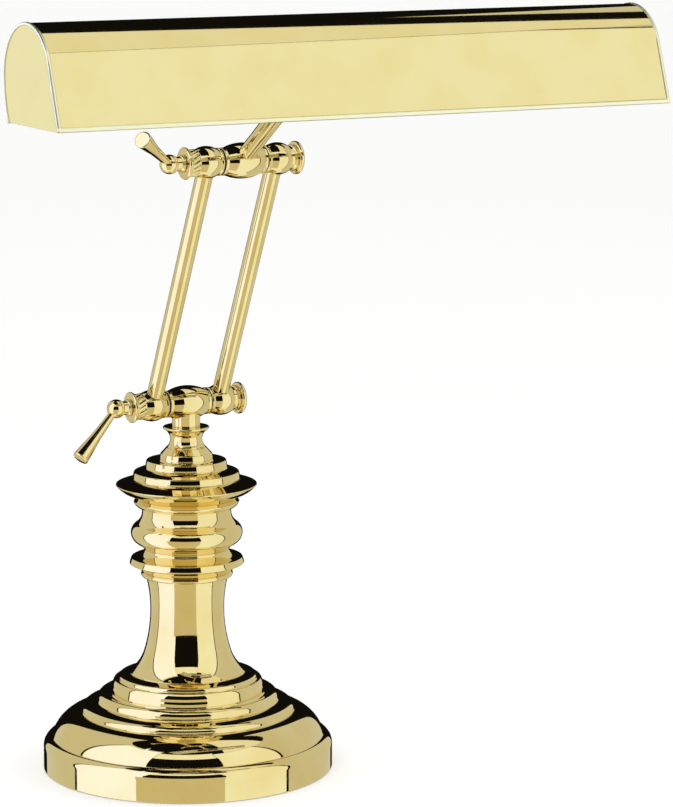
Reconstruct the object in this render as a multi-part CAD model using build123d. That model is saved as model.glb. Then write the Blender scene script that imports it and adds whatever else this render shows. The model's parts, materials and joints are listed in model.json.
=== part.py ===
from build123d import *
import math
import os

# Swing-arm desk lamp in polished brass, millimetres, +Z up.
# The origin is the centre of the base's underside, and the lamp faces -Y.

# Clearances between pieces, and how far a cut runs past the face that it opens
pivot_play = 0.06
stud_play = 0.08
slip_play = 0.1
face_gap = 0.2
seat_gap = 0.02
cut_over = 1.0

# Base: a spun shell over a cast weight, with felt under it
base_radius = 82.5
base_wall = 1.2
rim_lift = 0.6
rim_height = 20.6
rim_shoulder = 2.0
dome_inset = 19.5
dome_rise = 11.0
dome_bow = 3.2
felt_thickness = 1.6
felt_margin = 0.8
weight_margin = 5.8
weight_rim_thickness = 12.4
weight_slope = 7.0
weight_hub_wall = 10.0
nut_recess_wall = 3.4
nut_recess_depth = 9.0

# Stepped rings of the base: inwards and upwards from the dome's edge, then from nose to nose
ring_steps = ((2.1, 3.0), (8.6, 8.0), (8.1, 7.0))
ring_half_nose = 1.9
ring_edge = 0.9
ring_foot_out = 1.3
roll_rise = 6.9
roll_bow = 1.7
roll_margin = 0.6

# Lead inlet at the back of the rim
inlet_height = 9.5
inlet_bore = 3.4
inlet_wall = 1.2
inlet_flange_width = 1.8
inlet_flange_thickness = 1.6
inlet_inside = 2.6

# Threaded pipe that holds the column together
pipe_radius = 4.85
pipe_bore = 3.5
pipe_foot = 3.6
pipe_grip = 5.6
washer_radius = 11.5
washer_thickness = 1.2
nut_across_flats = 15.0
nut_thickness = 4.5

# Column, from the base seat up, with heights counted from each piece's own foot
column_wall = 1.5
column_web = 4.0
shaft_foot_radius = 29.6
shaft_foot_lip = 1.0
shaft_waist_radius = 21.3
shaft_waist_rise = 35.6
shaft_lower_bow = -2.45
shaft_upper_bow = -2.48
shaft_top_radius = 27.2
shaft_length = 54.6
bead_radius = 32.6
bead_rise = 6.2
bead_bow = 1.4
bead_edge = 1.8
cove_bow = -0.6
ring_top_radius = 24.2
ring_length = 14.2
vase_radius = 31.7
vase_widest_rise = 9.6
vase_lower_bow = 2.1
vase_upper_bow = -0.7
vase_neck_radius = 25.3
vase_length = 22.6
collar_radius = 30.4
collar_edge_rise = 4.8
collar_bow = 1.1
collar_length = 6.2
flange_root_radius = 28.0
flange_radius = 40.1
flange_edge_rise = 7.6
flange_edge = 1.6
flange_lower_bow = -0.65
flange_upper_bow = -0.28
flange_length = 11.6
cap_radius = 30.3
cap_nose_rise = 1.8
cap_steps = ((0.0, 0.0), (7.2, 7.4), (8.0, 4.8))
cap_half_nose = 1.3
cap_edge = 0.6
cap_foot_out = 1.0
cap_top_radius = 11.4
cap_top_rise = 2.5
cup_neck_radius = 9.1
cup_neck_rise = 5.1
cup_neck_bow = -0.73
cup_flare_bow = -0.88
cup_lip_radius = 13.2
cup_lip_thickness = 1.4
cup_lip_edge = 0.4
cup_length = 12.0

# Clamped knuckles, the same at both ends of the arm
yoke_neck_length = 13.4
yoke_neck_radius = 8.0
yoke_half_length = 12.8
yoke_radius = 9.8
yoke_end_radius = 7.6
yoke_end_bead = 1.6
spigot_radius = 5.0
spigot_length = 2.4
washer_ring_thickness = 0.5
washer_ring_radius = 7.0
barrel_length = 14.5
barrel_end_radius = 7.0
barrel_bow = 1.9
barrel_bead = 1.8
barrel_bead_rise = 0.8
stud_radius = 3.0
band_length = 5.0
band_radius = 7.5
band_flutes = 16
flute_radius = 1.4
flute_depth = 0.7
flute_margin = 0.5
flute_slant = 30.0
disc_radius = 8.7
disc_length = 2.4
disc_edge = 0.5
nut_neck_radius = 6.4
nut_neck_length = 1.8
nut_ring_radius = 7.8
nut_ring_length = 1.8
nut_disc_radius = 9.1
nut_disc_length = 3.2
nut_disc_edge = 0.6
nut_dish_margin = 1.6
nut_dish = 0.8

# Clamp levers
lever_ball_radius = 5.3
lever_ball_out = 8.2
lever_neck_radius = 3.9
lever_ring_width = 0.9
lever_ring_thickness = 1.4
lever_reach = 37.0
lever_root_radius = 2.1
lever_end_radius = 4.65
lever_end_edge = 0.7
lever_bow = -0.5
lever_splay = 45.0
lever_stud_grip = 4.0
lower_lever_turn = 255.0
upper_lever_turn = 141.3

# Arm rods and stem
arm_length = 158.0
arm_lean = 25.4
tube_radius = 4.75
tube_wall = 1.0
tube_seat_margin = 1.3
rod_offset = 7.3
stem_elevation = 34.6
stem_reach = 102.5
stem_inside = 11.5
stem_wall = 1.85
stem_thread_radius = 3.9
stem_thread_length = 5.0
stem_collar_radius = 9.0
stem_collar_length = 6.0
stem_collar_past = 12.0
stem_collar_step = 1.4
stem_collar_edge = 1.5
stem_collar_bow = 0.7

# Shade: an open trough of sheet brass with flat ends
shade_length = 355.6
shade_sheet = 1.0
crown_radius = 27.0
back_radius = 60.0
mouth_drop = 23.4
mouth_front = 36.3
hem_height = 2.2
hem_proud = 0.5
rib_width = 2.0
rib_proud = 0.5

# Lamp holders, switch and bulbs inside the shade
holder_ahead = 3.0
holder_below = 4.8
bracket_thickness = 1.5
bracket_width = 20.0
bracket_up = 8.5
bracket_margin = 6.2
bracket_strap_angle = 75.0
locknut_across_flats = 12.0
locknut_thickness = 2.8
body_radius = 12.0
body_half_length = 12.0
socket_radius = 16.0
socket_wall = 2.5
socket_depth = 26.0
socket_back = 8.0
socket_back_edge = 2.5
socket_mouth_edge = 0.6
bulb_base_play = 0.4
bulb_base_length = 25.0
contact_radius = 5.0
contact_height = 1.2
base_cone_step = 1.8
base_cone_height = 4.0
base_edge_height = 5.0
bulb_radius = 16.0
bulb_length = 114.0
bulb_neck = 7.0
bulb_neck_step = 0.6
bulb_neck_bow = 0.6
bulb_wall = 0.9
bulb_tip_length = 11.0
switch_bush_radius = 5.0
switch_bush_length = 0.8
knob_radius = 7.0
knob_length = 4.6
knob_edge = 0.8
knob_flutes = 12
knob_flute_radius = 0.9
knob_flute_out = 0.5
knob_shaft_radius = 2.4
knob_shaft_length = 5.0

# Heights of the seats, from the floor up
rim_edge_radius = base_radius - rim_shoulder
dome_top_radius = base_radius - dome_inset
dome_top_height = rim_height + dome_rise
base_seat_height = dome_top_height + sum(step[1] for step in ring_steps) + ring_half_nose + roll_rise
shaft_top_height = base_seat_height + shaft_length
ring_top_height = shaft_top_height + ring_length
vase_top_height = ring_top_height + vase_length
collar_top_height = vase_top_height + collar_length
flange_top_height = collar_top_height + flange_length
cap_last_top = flange_top_height + cap_nose_rise + sum(step[1] for step in cap_steps) + cap_half_nose
cap_top_height = cap_last_top + cap_top_rise
cup_top_height = cap_top_height + cup_length
column_bore = shaft_waist_radius - column_wall

# Places along the knuckles, counted from the middle of the cross piece
tube_seat = stud_radius + tube_seat_margin
barrel_start = yoke_half_length + face_gap + washer_ring_thickness
barrel_end = barrel_start + barrel_length
rod_spread = barrel_start + rod_offset
band_end = barrel_end + band_length
disc_end = band_end + disc_length
lever_ball_x = -(disc_end + lever_ball_out)
lever_foot_x = -(disc_end + face_gap)
stud_grip_x = lever_ball_x + lever_ball_radius - lever_stud_grip
nut_ring_start = barrel_end + nut_neck_length
nut_disc_start = nut_ring_start + nut_ring_length
nut_end = nut_disc_start + nut_disc_length

# Pivots, the stem's direction and the centres of the crown and the lamp holders
arm_lean_angle = math.radians(arm_lean)
arm_direction = Vector(0, -math.sin(arm_lean_angle), math.cos(arm_lean_angle))
lower_pivot = Vector(0, 0, cup_top_height + yoke_neck_length)
upper_pivot = lower_pivot + arm_direction * arm_length
stem_angle = math.radians(stem_elevation)
stem_direction = Vector(0, -math.cos(stem_angle), math.sin(stem_angle))
stem_up = Vector(0, math.sin(stem_angle), math.cos(stem_angle))
stem_entry = upper_pivot + stem_direction * stem_reach
stem_shoulder = stem_reach + stem_inside
crown_y = stem_entry.Y - crown_radius
crown_z = stem_entry.Z
mouth_z = crown_z - mouth_drop
holder_centre = Vector(0, crown_y - holder_ahead, crown_z - holder_below)
bracket_down = bracket_margin - (holder_centre - upper_pivot).dot(stem_up)
bulb_base_radius = socket_radius - socket_wall - bulb_base_play


def turned(stops, axis=Axis.Z):
    """Turn a closed outline of (radius, height) stops; a third value bows the line to that stop
    sideways, to the right of the way that the outline runs."""
    along_z = axis == Axis.Z
    edges = []
    here = stops[-1][:2]
    for stop in stops:
        there = stop[:2]
        points = [here, there]
        if len(stop) == 3:
            run = (there[0] - here[0], there[1] - here[1])
            share = stop[2] / math.hypot(*run)
            points.insert(1, ((here[0] + there[0]) / 2 + run[1] * share, (here[1] + there[1]) / 2 - run[0] * share))
        places = [(p[0], 0, p[1]) if along_z else (p[1], 0, p[0]) for p in points]
        edges.append(Line(*places) if len(places) == 2 else ThreePointArc(*places))
        here = there
    return revolve(make_face(edges), axis=axis)


def cap_bow(radius, rise):
    """Bow of a round cap that rises from a radius to the axis and meets the axis square."""
    reach = (radius ** 2 + rise ** 2) / (2 * abs(rise))
    bow = reach - math.sqrt(reach ** 2 - (radius ** 2 + rise ** 2) / 4)
    return math.copysign(bow, rise)


def quarter_bow(radius):
    """Bow of a quarter round of the given radius."""
    return radius * (1 - math.sqrt(0.5))


def upright(radius, bottom, top):
    """A round bar about Z from one height to another."""
    return Pos(0, 0, bottom) * Cylinder(radius, top - bottom, align=(Align.CENTER, Align.CENTER, Align.MIN))


def bored(shape, radius, bottom, top):
    """Cut a round bore about Z from one height to another."""
    return shape - upright(radius, bottom, top)


def rod_between(radius, start, direction, length):
    """A round bar from a point along a direction."""
    place = Plane(origin=start, z_dir=direction)
    return place * Cylinder(radius, length, align=(Align.CENTER, Align.CENTER, Align.MIN))


def cross_rod(radius, start, end):
    """A round bar along X between two values of X."""
    return rod_between(radius, Vector(start, 0, 0), Vector(1, 0, 0), end - start)


def hexagon(across_flats, thickness):
    """A hexagonal prism that stands on the XY plane."""
    return extrude(RegularPolygon(across_flats / 2, 6, major_radius=False), amount=thickness)


def left_hand(shape):
    """The same piece on the other side of the YZ plane."""
    return mirror(shape, about=Plane.YZ)


def ring_stops(radius, height, half_nose, edge, foot_out):
    """The foot, nose and bevelled top edge of one stepped ring whose nose is at a radius and height."""
    return [
        (radius + foot_out, height - half_nose - foot_out),
        (radius, height - half_nose),
        (radius, height + half_nose - edge),
        (radius - edge, height + half_nose),
    ]


def stepped_rings(radius, height, steps, half_nose, edge, foot_out):
    """The stops of several stepped rings, each one stepped inwards and upwards from the one before."""
    stops = []
    for step_in, step_up in steps:
        radius -= step_in
        height += step_up
        stops.append(ring_stops(radius, height, half_nose, edge, foot_out))
    return stops


def base_shell():
    rings = stepped_rings(dome_top_radius, dome_top_height, ring_steps, ring_half_nose, ring_edge, ring_foot_out)
    outer = [
        (base_radius, rim_lift),
        (base_radius, rim_height - rim_shoulder),
        (rim_edge_radius, rim_height, quarter_bow(rim_shoulder)),
        (dome_top_radius, dome_top_height, dome_bow),
    ]
    for ring in rings:
        outer += ring
    outer.append((shaft_foot_radius + roll_margin, base_seat_height, roll_bow))
    solid = turned(outer + [(0, base_seat_height), (0, rim_lift)])
    first_foot = rings[0][0]
    last_foot = rings[-1][0]
    under_seat = base_seat_height - base_wall
    hollow = turned([
        (base_radius - base_wall, 0),
        (base_radius - base_wall, rim_height - rim_shoulder),
        (rim_edge_radius - base_wall, rim_height - base_wall),
        (first_foot[0] - base_wall, first_foot[1] - base_wall, dome_bow),
        (last_foot[0] - base_wall, last_foot[1] - base_wall),
        (shaft_foot_radius, under_seat),
        (0, under_seat),
        (0, 0),
    ])
    shell = bored(solid - hollow, pipe_radius + slip_play, under_seat - cut_over, base_seat_height + cut_over)
    hole_start = Vector(0, base_radius - base_wall - cut_over, inlet_height)
    hole = rod_between(inlet_bore + inlet_wall + slip_play, hole_start, Vector(0, 1, 0), base_wall + 2 * cut_over)
    return shell - hole


def base_weight():
    """The cast weight that fills the rim, with a hub up to the base's seat."""
    bottom = felt_thickness
    rim_top = bottom + weight_rim_thickness
    top = base_seat_height - base_wall
    hub_radius = pipe_radius + weight_hub_wall
    solid = turned([
        (0, bottom),
        (base_radius - base_wall - weight_margin, bottom),
        (base_radius - base_wall - weight_margin, rim_top),
        (hub_radius, rim_top + weight_slope),
        (hub_radius, top),
        (0, top),
    ])
    solid = bored(solid, pipe_radius + slip_play, bottom, top + cut_over)
    return bored(solid, washer_radius + nut_recess_wall, bottom - cut_over, bottom + nut_recess_depth)


def base_felt():
    return upright(base_radius - base_wall - felt_margin, 0, felt_thickness)


def cord_bushing():
    """The insulating bush that lines the lead's hole, with its flange outside the rim."""
    backward = Vector(0, 1, 0)
    shank_radius = inlet_bore + inlet_wall
    inside = base_radius - base_wall - inlet_inside
    length = base_radius + inlet_flange_thickness - inside
    start = Vector(0, inside, inlet_height)
    shank = rod_between(shank_radius, start, backward, length)
    flange_start = Vector(0, base_radius - cut_over, inlet_height)
    flange = rod_between(shank_radius + inlet_flange_width, flange_start, backward, inlet_flange_thickness + cut_over)
    rim = upright(base_radius + seat_gap, 0, rim_height)
    bore = rod_between(inlet_bore, start - backward * cut_over, backward, length + 2 * cut_over)
    return shank + (flange - rim) - bore


def threaded_pipe():
    top = cup_top_height + pipe_grip
    return bored(upright(pipe_radius, pipe_foot, top), pipe_bore, 0, top + cut_over)


def pipe_washer():
    top = felt_thickness + nut_recess_depth
    bottom = top - washer_thickness
    return bored(upright(washer_radius, bottom, top), pipe_radius + slip_play, bottom, top)


def pipe_nut():
    top = felt_thickness + nut_recess_depth - washer_thickness
    nut = Pos(0, 0, top - nut_thickness) * hexagon(nut_across_flats, nut_thickness)
    return bored(nut, pipe_radius + seat_gap, 0, top + cut_over)


def column_shaft():
    """The hollow trumpet that stands on the base."""
    foot = base_seat_height
    solid = turned([
        (0, foot),
        (shaft_foot_radius, foot),
        (shaft_foot_radius, foot + shaft_foot_lip),
        (shaft_waist_radius, foot + shaft_waist_rise, shaft_lower_bow),
        (shaft_top_radius, shaft_top_height, shaft_upper_bow),
        (0, shaft_top_height),
    ])
    solid = bored(solid, column_bore, foot - cut_over, shaft_top_height - column_web)
    return bored(solid, pipe_radius + slip_play, foot, shaft_top_height + cut_over)


def column_ring():
    """The half-round bead above the trumpet, coved in to the groove under the vase."""
    bottom = shaft_top_height
    solid = turned([
        (0, bottom),
        (shaft_top_radius, bottom),
        (bead_radius, bottom + bead_rise, bead_bow),
        (bead_radius - bead_edge, bottom + bead_rise + bead_edge),
        (ring_top_radius, ring_top_height, cove_bow),
        (0, ring_top_height),
    ])
    solid = bored(solid, column_bore, bottom - cut_over, ring_top_height - column_web)
    return bored(solid, pipe_radius + slip_play, bottom, ring_top_height + cut_over)


def column_vase():
    """The swelling piece under the collar, hollow between its seats."""
    bottom = ring_top_height
    top = vase_top_height
    solid = turned([
        (0, bottom),
        (ring_top_radius, bottom),
        (vase_radius, bottom + vase_widest_rise, vase_lower_bow),
        (vase_neck_radius, top, vase_upper_bow),
        (0, top),
    ])
    solid = bored(solid, column_bore, bottom - cut_over, top - column_web)
    return bored(solid, pipe_radius + slip_play, bottom, top + cut_over)


def column_collar():
    bottom = vase_top_height
    solid = turned([
        (0, bottom),
        (vase_neck_radius, bottom),
        (collar_radius, bottom + collar_edge_rise, collar_bow),
        (flange_root_radius, collar_top_height),
        (0, collar_top_height),
    ])
    return bored(solid, pipe_radius + slip_play, bottom, collar_top_height + cut_over)


def column_flange():
    """The widest disc of the column, coned below and dished above."""
    bottom = collar_top_height
    edge = bottom + flange_edge_rise
    solid = turned([
        (0, bottom),
        (flange_root_radius, bottom),
        (flange_radius, edge, flange_lower_bow),
        (flange_radius, edge + flange_edge),
        (cap_radius + cap_foot_out, flange_top_height, flange_upper_bow),
        (0, flange_top_height),
    ])
    return bored(solid, pipe_radius + slip_play, bottom, flange_top_height + cut_over)


def stepped_cap():
    """Three stepped rings that narrow towards the neck."""
    bottom = flange_top_height
    rings = stepped_rings(cap_radius, bottom + cap_nose_rise, cap_steps, cap_half_nose, cap_edge, cap_foot_out)
    stops = [(0, bottom), (cap_radius + cap_foot_out, bottom)] + rings[0][1:]
    for ring in rings[1:]:
        stops += ring
    solid = turned(stops + [(cap_top_radius, cap_top_height), (0, cap_top_height)])
    return bored(solid, pipe_radius + slip_play, bottom, cap_top_height + cut_over)


def neck_cup():
    """The waisted neck whose flared lip the lower cross piece stands on."""
    bottom = cap_top_height
    lip_foot = cup_top_height - cup_lip_thickness
    solid = turned([
        (0, bottom),
        (cap_top_radius, bottom),
        (cup_neck_radius, bottom + cup_neck_rise, cup_neck_bow),
        (cup_lip_radius - cup_lip_edge, lip_foot, cup_flare_bow),
        (cup_lip_radius, lip_foot + cup_lip_thickness / 2),
        (cup_lip_radius - cup_lip_edge, cup_top_height),
        (0, cup_top_height),
    ])
    return bored(solid, pipe_radius + slip_play, bottom, cup_top_height + cut_over)


def yoke_spindle():
    """The swelling cross piece between the two barrels, at the origin along X."""
    half = yoke_half_length
    bead = half - yoke_end_bead
    swell = yoke_radius - yoke_end_radius
    spindle = turned([
        (0, -half),
        (yoke_end_radius, -half),
        (yoke_end_radius, -bead),
        (yoke_end_radius, bead, swell),
        (yoke_end_radius, half),
        (0, half),
    ], Axis.X)
    spindle -= cross_rod(stud_radius + stud_play, -half - cut_over, half + cut_over)
    pocket = cross_rod(spigot_radius + pivot_play, half - spigot_length - face_gap, half + cut_over)
    return spindle - pocket - left_hand(pocket)


def lower_yoke():
    """The lower cross piece with the neck that screws on to the column's pipe."""
    neck = upright(yoke_neck_radius, -yoke_neck_length, 0)
    neck -= cross_rod(stud_radius + stud_play, -yoke_half_length, yoke_half_length)
    yoke = bored(yoke_spindle() + neck, pipe_radius + seat_gap, -yoke_neck_length - cut_over,
                 -yoke_neck_length + pipe_grip + face_gap)
    return Pos(*lower_pivot) * yoke


def upper_yoke():
    """The upper cross piece, drilled for the stem."""
    socket = rod_between(tube_radius + seat_gap, stem_direction * tube_seat, stem_direction, yoke_radius)
    return Pos(*upper_pivot) * (yoke_spindle() - socket)


def barrel(side, rod_direction):
    """One barrel of a knuckle, at the origin, with the spigot that turns in the cross piece."""
    start = barrel_start
    bead_end = start + barrel_bead
    spigot_tip = yoke_half_length - spigot_length
    body = turned([
        (0, start),
        (barrel_end_radius, start),
        (barrel_end_radius + barrel_bead_rise, start + barrel_bead / 2),
        (barrel_end_radius, bead_end),
        (barrel_end_radius, barrel_end, barrel_bow),
        (0, barrel_end),
    ], Axis.X)
    body += cross_rod(spigot_radius, spigot_tip, start)
    body -= cross_rod(stud_radius + stud_play, spigot_tip - cut_over, barrel_end + cut_over)
    if side < 0:
        body = left_hand(body)
    seat = Vector(side * rod_spread, 0, 0) + rod_direction * tube_seat
    return body - rod_between(tube_radius + seat_gap, seat, rod_direction, barrel_end_radius + barrel_bow)


def rod(side):
    """One of the two arm tubes, from barrel to barrel."""
    start = lower_pivot + Vector(side * rod_spread, 0, 0) + arm_direction * tube_seat
    length = arm_length - 2 * tube_seat
    bore_start = start - arm_direction * cut_over
    bore = rod_between(tube_radius - tube_wall, bore_start, arm_direction, length + 2 * cut_over)
    return rod_between(tube_radius, start, arm_direction, length) - bore


def friction_washers(pivot):
    """The pair of fibre washers between a cross piece and its barrels."""
    ring = cross_rod(washer_ring_radius, yoke_half_length + face_gap, barrel_start)
    ring -= cross_rod(spigot_radius + slip_play, yoke_half_length, barrel_start + cut_over)
    return [Pos(*pivot) * ring, Pos(*pivot) * left_hand(ring)]


def clamp_collar(pivot):
    """The collar under the lever: a band of slanting flutes with a plain disc outside it."""
    band = cross_rod(band_radius, barrel_end, band_end)
    slant = math.radians(flute_slant)
    middle = Vector((barrel_end + band_end) / 2, 0, band_radius + flute_radius - flute_depth)
    place = Plane(origin=middle, z_dir=(math.cos(slant), math.sin(slant), 0))
    cutter = place * Cylinder(flute_radius, 4 * band_length)
    cutter = cutter & cross_rod(2 * disc_radius, barrel_end + flute_margin, band_end - flute_margin)
    for index in range(band_flutes):
        band -= Rot(index * 360 / band_flutes, 0, 0) * cutter
    disc = turned([
        (0, band_end),
        (disc_radius - disc_edge, band_end),
        (disc_radius, band_end + disc_edge),
        (disc_radius, disc_end - disc_edge),
        (disc_radius - disc_edge, disc_end),
        (0, disc_end),
    ], Axis.X)
    collar = band + disc - cross_rod(stud_radius + stud_play, barrel_end - cut_over, disc_end + cut_over)
    return Pos(*pivot) * left_hand(collar)


def cap_nut(pivot):
    """The round nut that closes the far end of a knuckle, with a dished face."""
    dish_radius = nut_disc_radius - nut_dish_margin
    nut = turned([
        (0, barrel_end),
        (nut_neck_radius, barrel_end),
        (nut_neck_radius, nut_ring_start),
        (nut_ring_radius, nut_ring_start + nut_ring_length / 2),
        (nut_neck_radius, nut_disc_start),
        (nut_disc_radius, nut_disc_start + nut_disc_edge),
        (nut_disc_radius, nut_end - nut_disc_edge),
        (nut_disc_radius - nut_disc_edge, nut_end),
        (dish_radius, nut_end),
        (0, nut_end - nut_dish, cap_bow(dish_radius, -nut_dish)),
    ], Axis.X)
    nut -= cross_rod(stud_radius + stud_play, barrel_end - cut_over, nut_disc_start)
    return Pos(*pivot) * nut


def lever(pivot, turn):
    """A clamp lever: a ball on the stud with a tapered handle that splays outwards."""
    ball = Pos(lever_ball_x, 0, 0) * Sphere(lever_ball_radius)
    neck = cross_rod(lever_neck_radius, lever_ball_x, lever_foot_x)
    neck += cross_rod(lever_neck_radius + lever_ring_width, lever_foot_x - lever_ring_thickness, lever_foot_x)
    splay = math.radians(lever_splay)
    around = math.radians(turn)
    outward = Vector(-math.sin(splay), math.cos(around) * math.cos(splay), math.sin(around) * math.cos(splay))
    handle = turned([
        (0, 0),
        (lever_root_radius, 0),
        (lever_root_radius, lever_ball_radius),
        (lever_end_radius, lever_reach - lever_end_edge, lever_bow),
        (lever_end_radius - lever_end_edge, lever_reach),
        (0, lever_reach),
    ])
    solid = ball + neck + Plane(origin=(lever_ball_x, 0, 0), z_dir=outward) * handle
    return Pos(*pivot) * (solid - cross_rod(stud_radius + seat_gap, stud_grip_x, 0))


def pivot_stud(pivot):
    """The clamp stud that runs from the lever's ball through the knuckle into the round nut."""
    return Pos(*pivot) * cross_rod(stud_radius, stud_grip_x, nut_disc_start - face_gap)


def stem():
    """The tube from the upper knuckle into the shade, with a threaded end of smaller diameter."""
    start = upper_pivot + stem_direction * tube_seat
    end = upper_pivot + stem_direction * stem_shoulder
    tube = rod_between(tube_radius, start, stem_direction, stem_shoulder - tube_seat)
    tube += rod_between(stem_thread_radius, end, stem_direction, stem_thread_length)
    bore_start = start - stem_direction * cut_over
    return tube - rod_between(tube_radius - stem_wall, bore_start, stem_direction, stem_shoulder + stem_thread_length)


def shade_outline(inset, drop=0.0):
    """Open outline of the shade in Y and Z, moved inwards by inset and lengthened downwards by drop."""
    radius = crown_radius - inset
    to_foot = math.hypot(mouth_front, mouth_drop)
    slope = math.atan2(mouth_drop, mouth_front) + math.asin(crown_radius / to_foot)
    foot_z = mouth_z - drop
    touch = Vector(crown_y - radius * math.sin(slope), crown_z + radius * math.cos(slope))
    foot = Vector(touch.X - (touch.Y - foot_z) / math.tan(slope), foot_z)
    middle = (math.pi / 2 + slope) / 2
    crown_top = Vector(crown_y + radius * math.cos(middle), crown_z + radius * math.sin(middle))
    side = Vector(crown_y + radius, crown_z)
    back_centre = crown_y + crown_radius - back_radius
    back = back_radius - inset
    fall = crown_z - foot_z
    back_middle = Vector(back_centre + math.sqrt(back ** 2 - fall ** 2 / 4), crown_z - fall / 2)
    back_foot = Vector(back_centre + math.sqrt(back ** 2 - fall ** 2), foot_z)
    return foot, touch, crown_top, side, back_middle, back_foot


def shade_block(inset, half_length, drop=0.0):
    """A solid with the shade's outline, from -half_length to half_length in X."""
    foot, touch, crown_top, side, back_middle, back_foot = [
        Vector(0, p.X, p.Y) for p in shade_outline(inset, drop)]
    face = make_face([
        Line(foot, touch),
        ThreePointArc(touch, crown_top, side),
        ThreePointArc(side, back_middle, back_foot),
        Line(back_foot, foot),
    ])
    return extrude(face, amount=half_length, dir=(1, 0, 0), both=True)


def shade_shell():
    """The trough with its turned-up hems and the raised ribs at its ends."""
    half = shade_length / 2
    rib = shade_block(-rib_proud, half) - shade_block(-rib_proud - cut_over, half - rib_width)
    hem_slab = Pos(0, crown_y, mouth_z) * Box(shade_length + 2 * cut_over, 4 * back_radius, 2 * hem_height)
    hem = shade_block(-hem_proud, half) & hem_slab
    shell = shade_block(0, half) + rib + hem - shade_block(shade_sheet, half + cut_over, mouth_drop)
    hole_start = stem_entry - stem_direction * stem_collar_length
    return shell - rod_between(tube_radius + slip_play, hole_start, stem_direction, stem_collar_length + stem_inside)


def shade_end(side):
    """A flat end plate set just inside the end of the trough."""
    plate = shade_block(shade_sheet + seat_gap, shade_sheet / 2)
    return Pos(side * (shade_length / 2 - shade_sheet), 0, 0) * plate


def stem_frame():
    """A plane on the upper pivot whose Z runs along the stem and whose X is the lamp's X."""
    return Plane(origin=upper_pivot, x_dir=(1, 0, 0), z_dir=stem_direction)


def stem_collar():
    """The turned collar on the stem, shaped to the back of the shade."""
    foot = stem_reach - stem_collar_length
    end = stem_reach + stem_collar_past
    collar = turned([
        (0, foot),
        (tube_radius + stem_collar_step, foot),
        (stem_collar_radius, stem_reach - stem_collar_edge, stem_collar_bow),
        (stem_collar_radius, end),
        (0, end),
    ])
    collar = bored(collar, tube_radius + seat_gap, foot - cut_over, end + cut_over)
    return stem_frame() * collar - shade_block(-seat_gap, 2 * stem_collar_radius)


def shade_bracket():
    """The strap under the crown and the plate that clamps it to the stem's end."""
    half = bracket_width / 2
    plate_middle = Pos(0, (bracket_up - bracket_down) / 2, stem_shoulder + bracket_thickness / 2)
    plate = stem_frame() * plate_middle * Box(bracket_width, bracket_up + bracket_down, bracket_thickness)
    outer = crown_radius - shade_sheet - face_gap
    inner = outer - bracket_thickness
    corner = upper_pivot + stem_direction * stem_shoulder + stem_up * bracket_up
    start = math.atan2(corner.Z - crown_z, corner.Y - crown_y)
    sweep = math.radians(bracket_strap_angle)
    angles = (start, start + sweep / 2, start + sweep)
    outside = [Vector(0, crown_y + outer * math.cos(t), crown_z + outer * math.sin(t)) for t in angles]
    inside = [Vector(0, crown_y + inner * math.cos(t), crown_z + inner * math.sin(t)) for t in angles]
    strap = make_face([
        ThreePointArc(*outside),
        Line(outside[2], inside[2]),
        ThreePointArc(inside[2], inside[1], inside[0]),
        Line(inside[0], outside[0]),
    ])
    strap = extrude(strap, amount=half, dir=(1, 0, 0), both=True)
    bracket = (plate & shade_block(shade_sheet + face_gap, bracket_width)) + strap
    hole = Pos(0, 0, stem_shoulder) * Cylinder(stem_thread_radius + slip_play, 4 * bracket_thickness)
    return bracket - stem_frame() * hole


def stem_locknut():
    nut = Pos(0, 0, stem_shoulder + bracket_thickness) * hexagon(locknut_across_flats, locknut_thickness)
    bore = Pos(0, 0, stem_shoulder) * Cylinder(stem_thread_radius + seat_gap, 4 * locknut_thickness)
    return stem_frame() * (nut - bore)


def switch_body():
    """The body between the two lamp holders, with a flat against the bracket and the switch's bush below."""
    downward = Vector(0, 0, -1)
    bush_end = body_radius + switch_bush_length
    bore_top = knob_shaft_length + face_gap - bush_end
    body = cross_rod(body_radius, -body_half_length, body_half_length)
    body += rod_between(switch_bush_radius, Vector(0, 0, 0), downward, bush_end)
    body -= rod_between(knob_shaft_radius + pivot_play, Vector(0, 0, bore_top), downward, 2 * bush_end)
    behind = stem_shoulder + bracket_thickness
    flat = Pos(0, 0, behind - 2 * body_radius) * Box(4 * body_radius, 8 * body_radius, 4 * body_radius)
    return Pos(*holder_centre) * body - stem_frame() * flat


def on_side(side, piece):
    """Set a piece made along +X on one side of the switch body."""
    return Pos(*holder_centre) * (piece if side > 0 else left_hand(piece))


def lamp_socket(side):
    """A lamp holder: a cup along X that takes the bulb's base."""
    start = body_half_length
    floor = start + socket_back
    end = floor + socket_depth
    cup = turned([
        (0, start),
        (socket_radius - socket_back_edge, start),
        (socket_radius, start + socket_back_edge),
        (socket_radius, end - socket_mouth_edge),
        (socket_radius - socket_mouth_edge, end),
        (0, end),
    ], Axis.X)
    return on_side(side, cup - cross_rod(socket_radius - socket_wall, floor, end + cut_over))


def bulb_base(side):
    """The screw base of a bulb, tapered to its centre contact."""
    start = body_half_length + socket_back
    end = start + bulb_base_length
    base = turned([
        (0, start),
        (contact_radius, start),
        (contact_radius, start + contact_height),
        (bulb_base_radius - base_cone_step, start + base_cone_height),
        (bulb_base_radius, start + base_edge_height),
        (bulb_base_radius, end),
        (0, end),
    ], Axis.X)
    return on_side(side, base)


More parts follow.
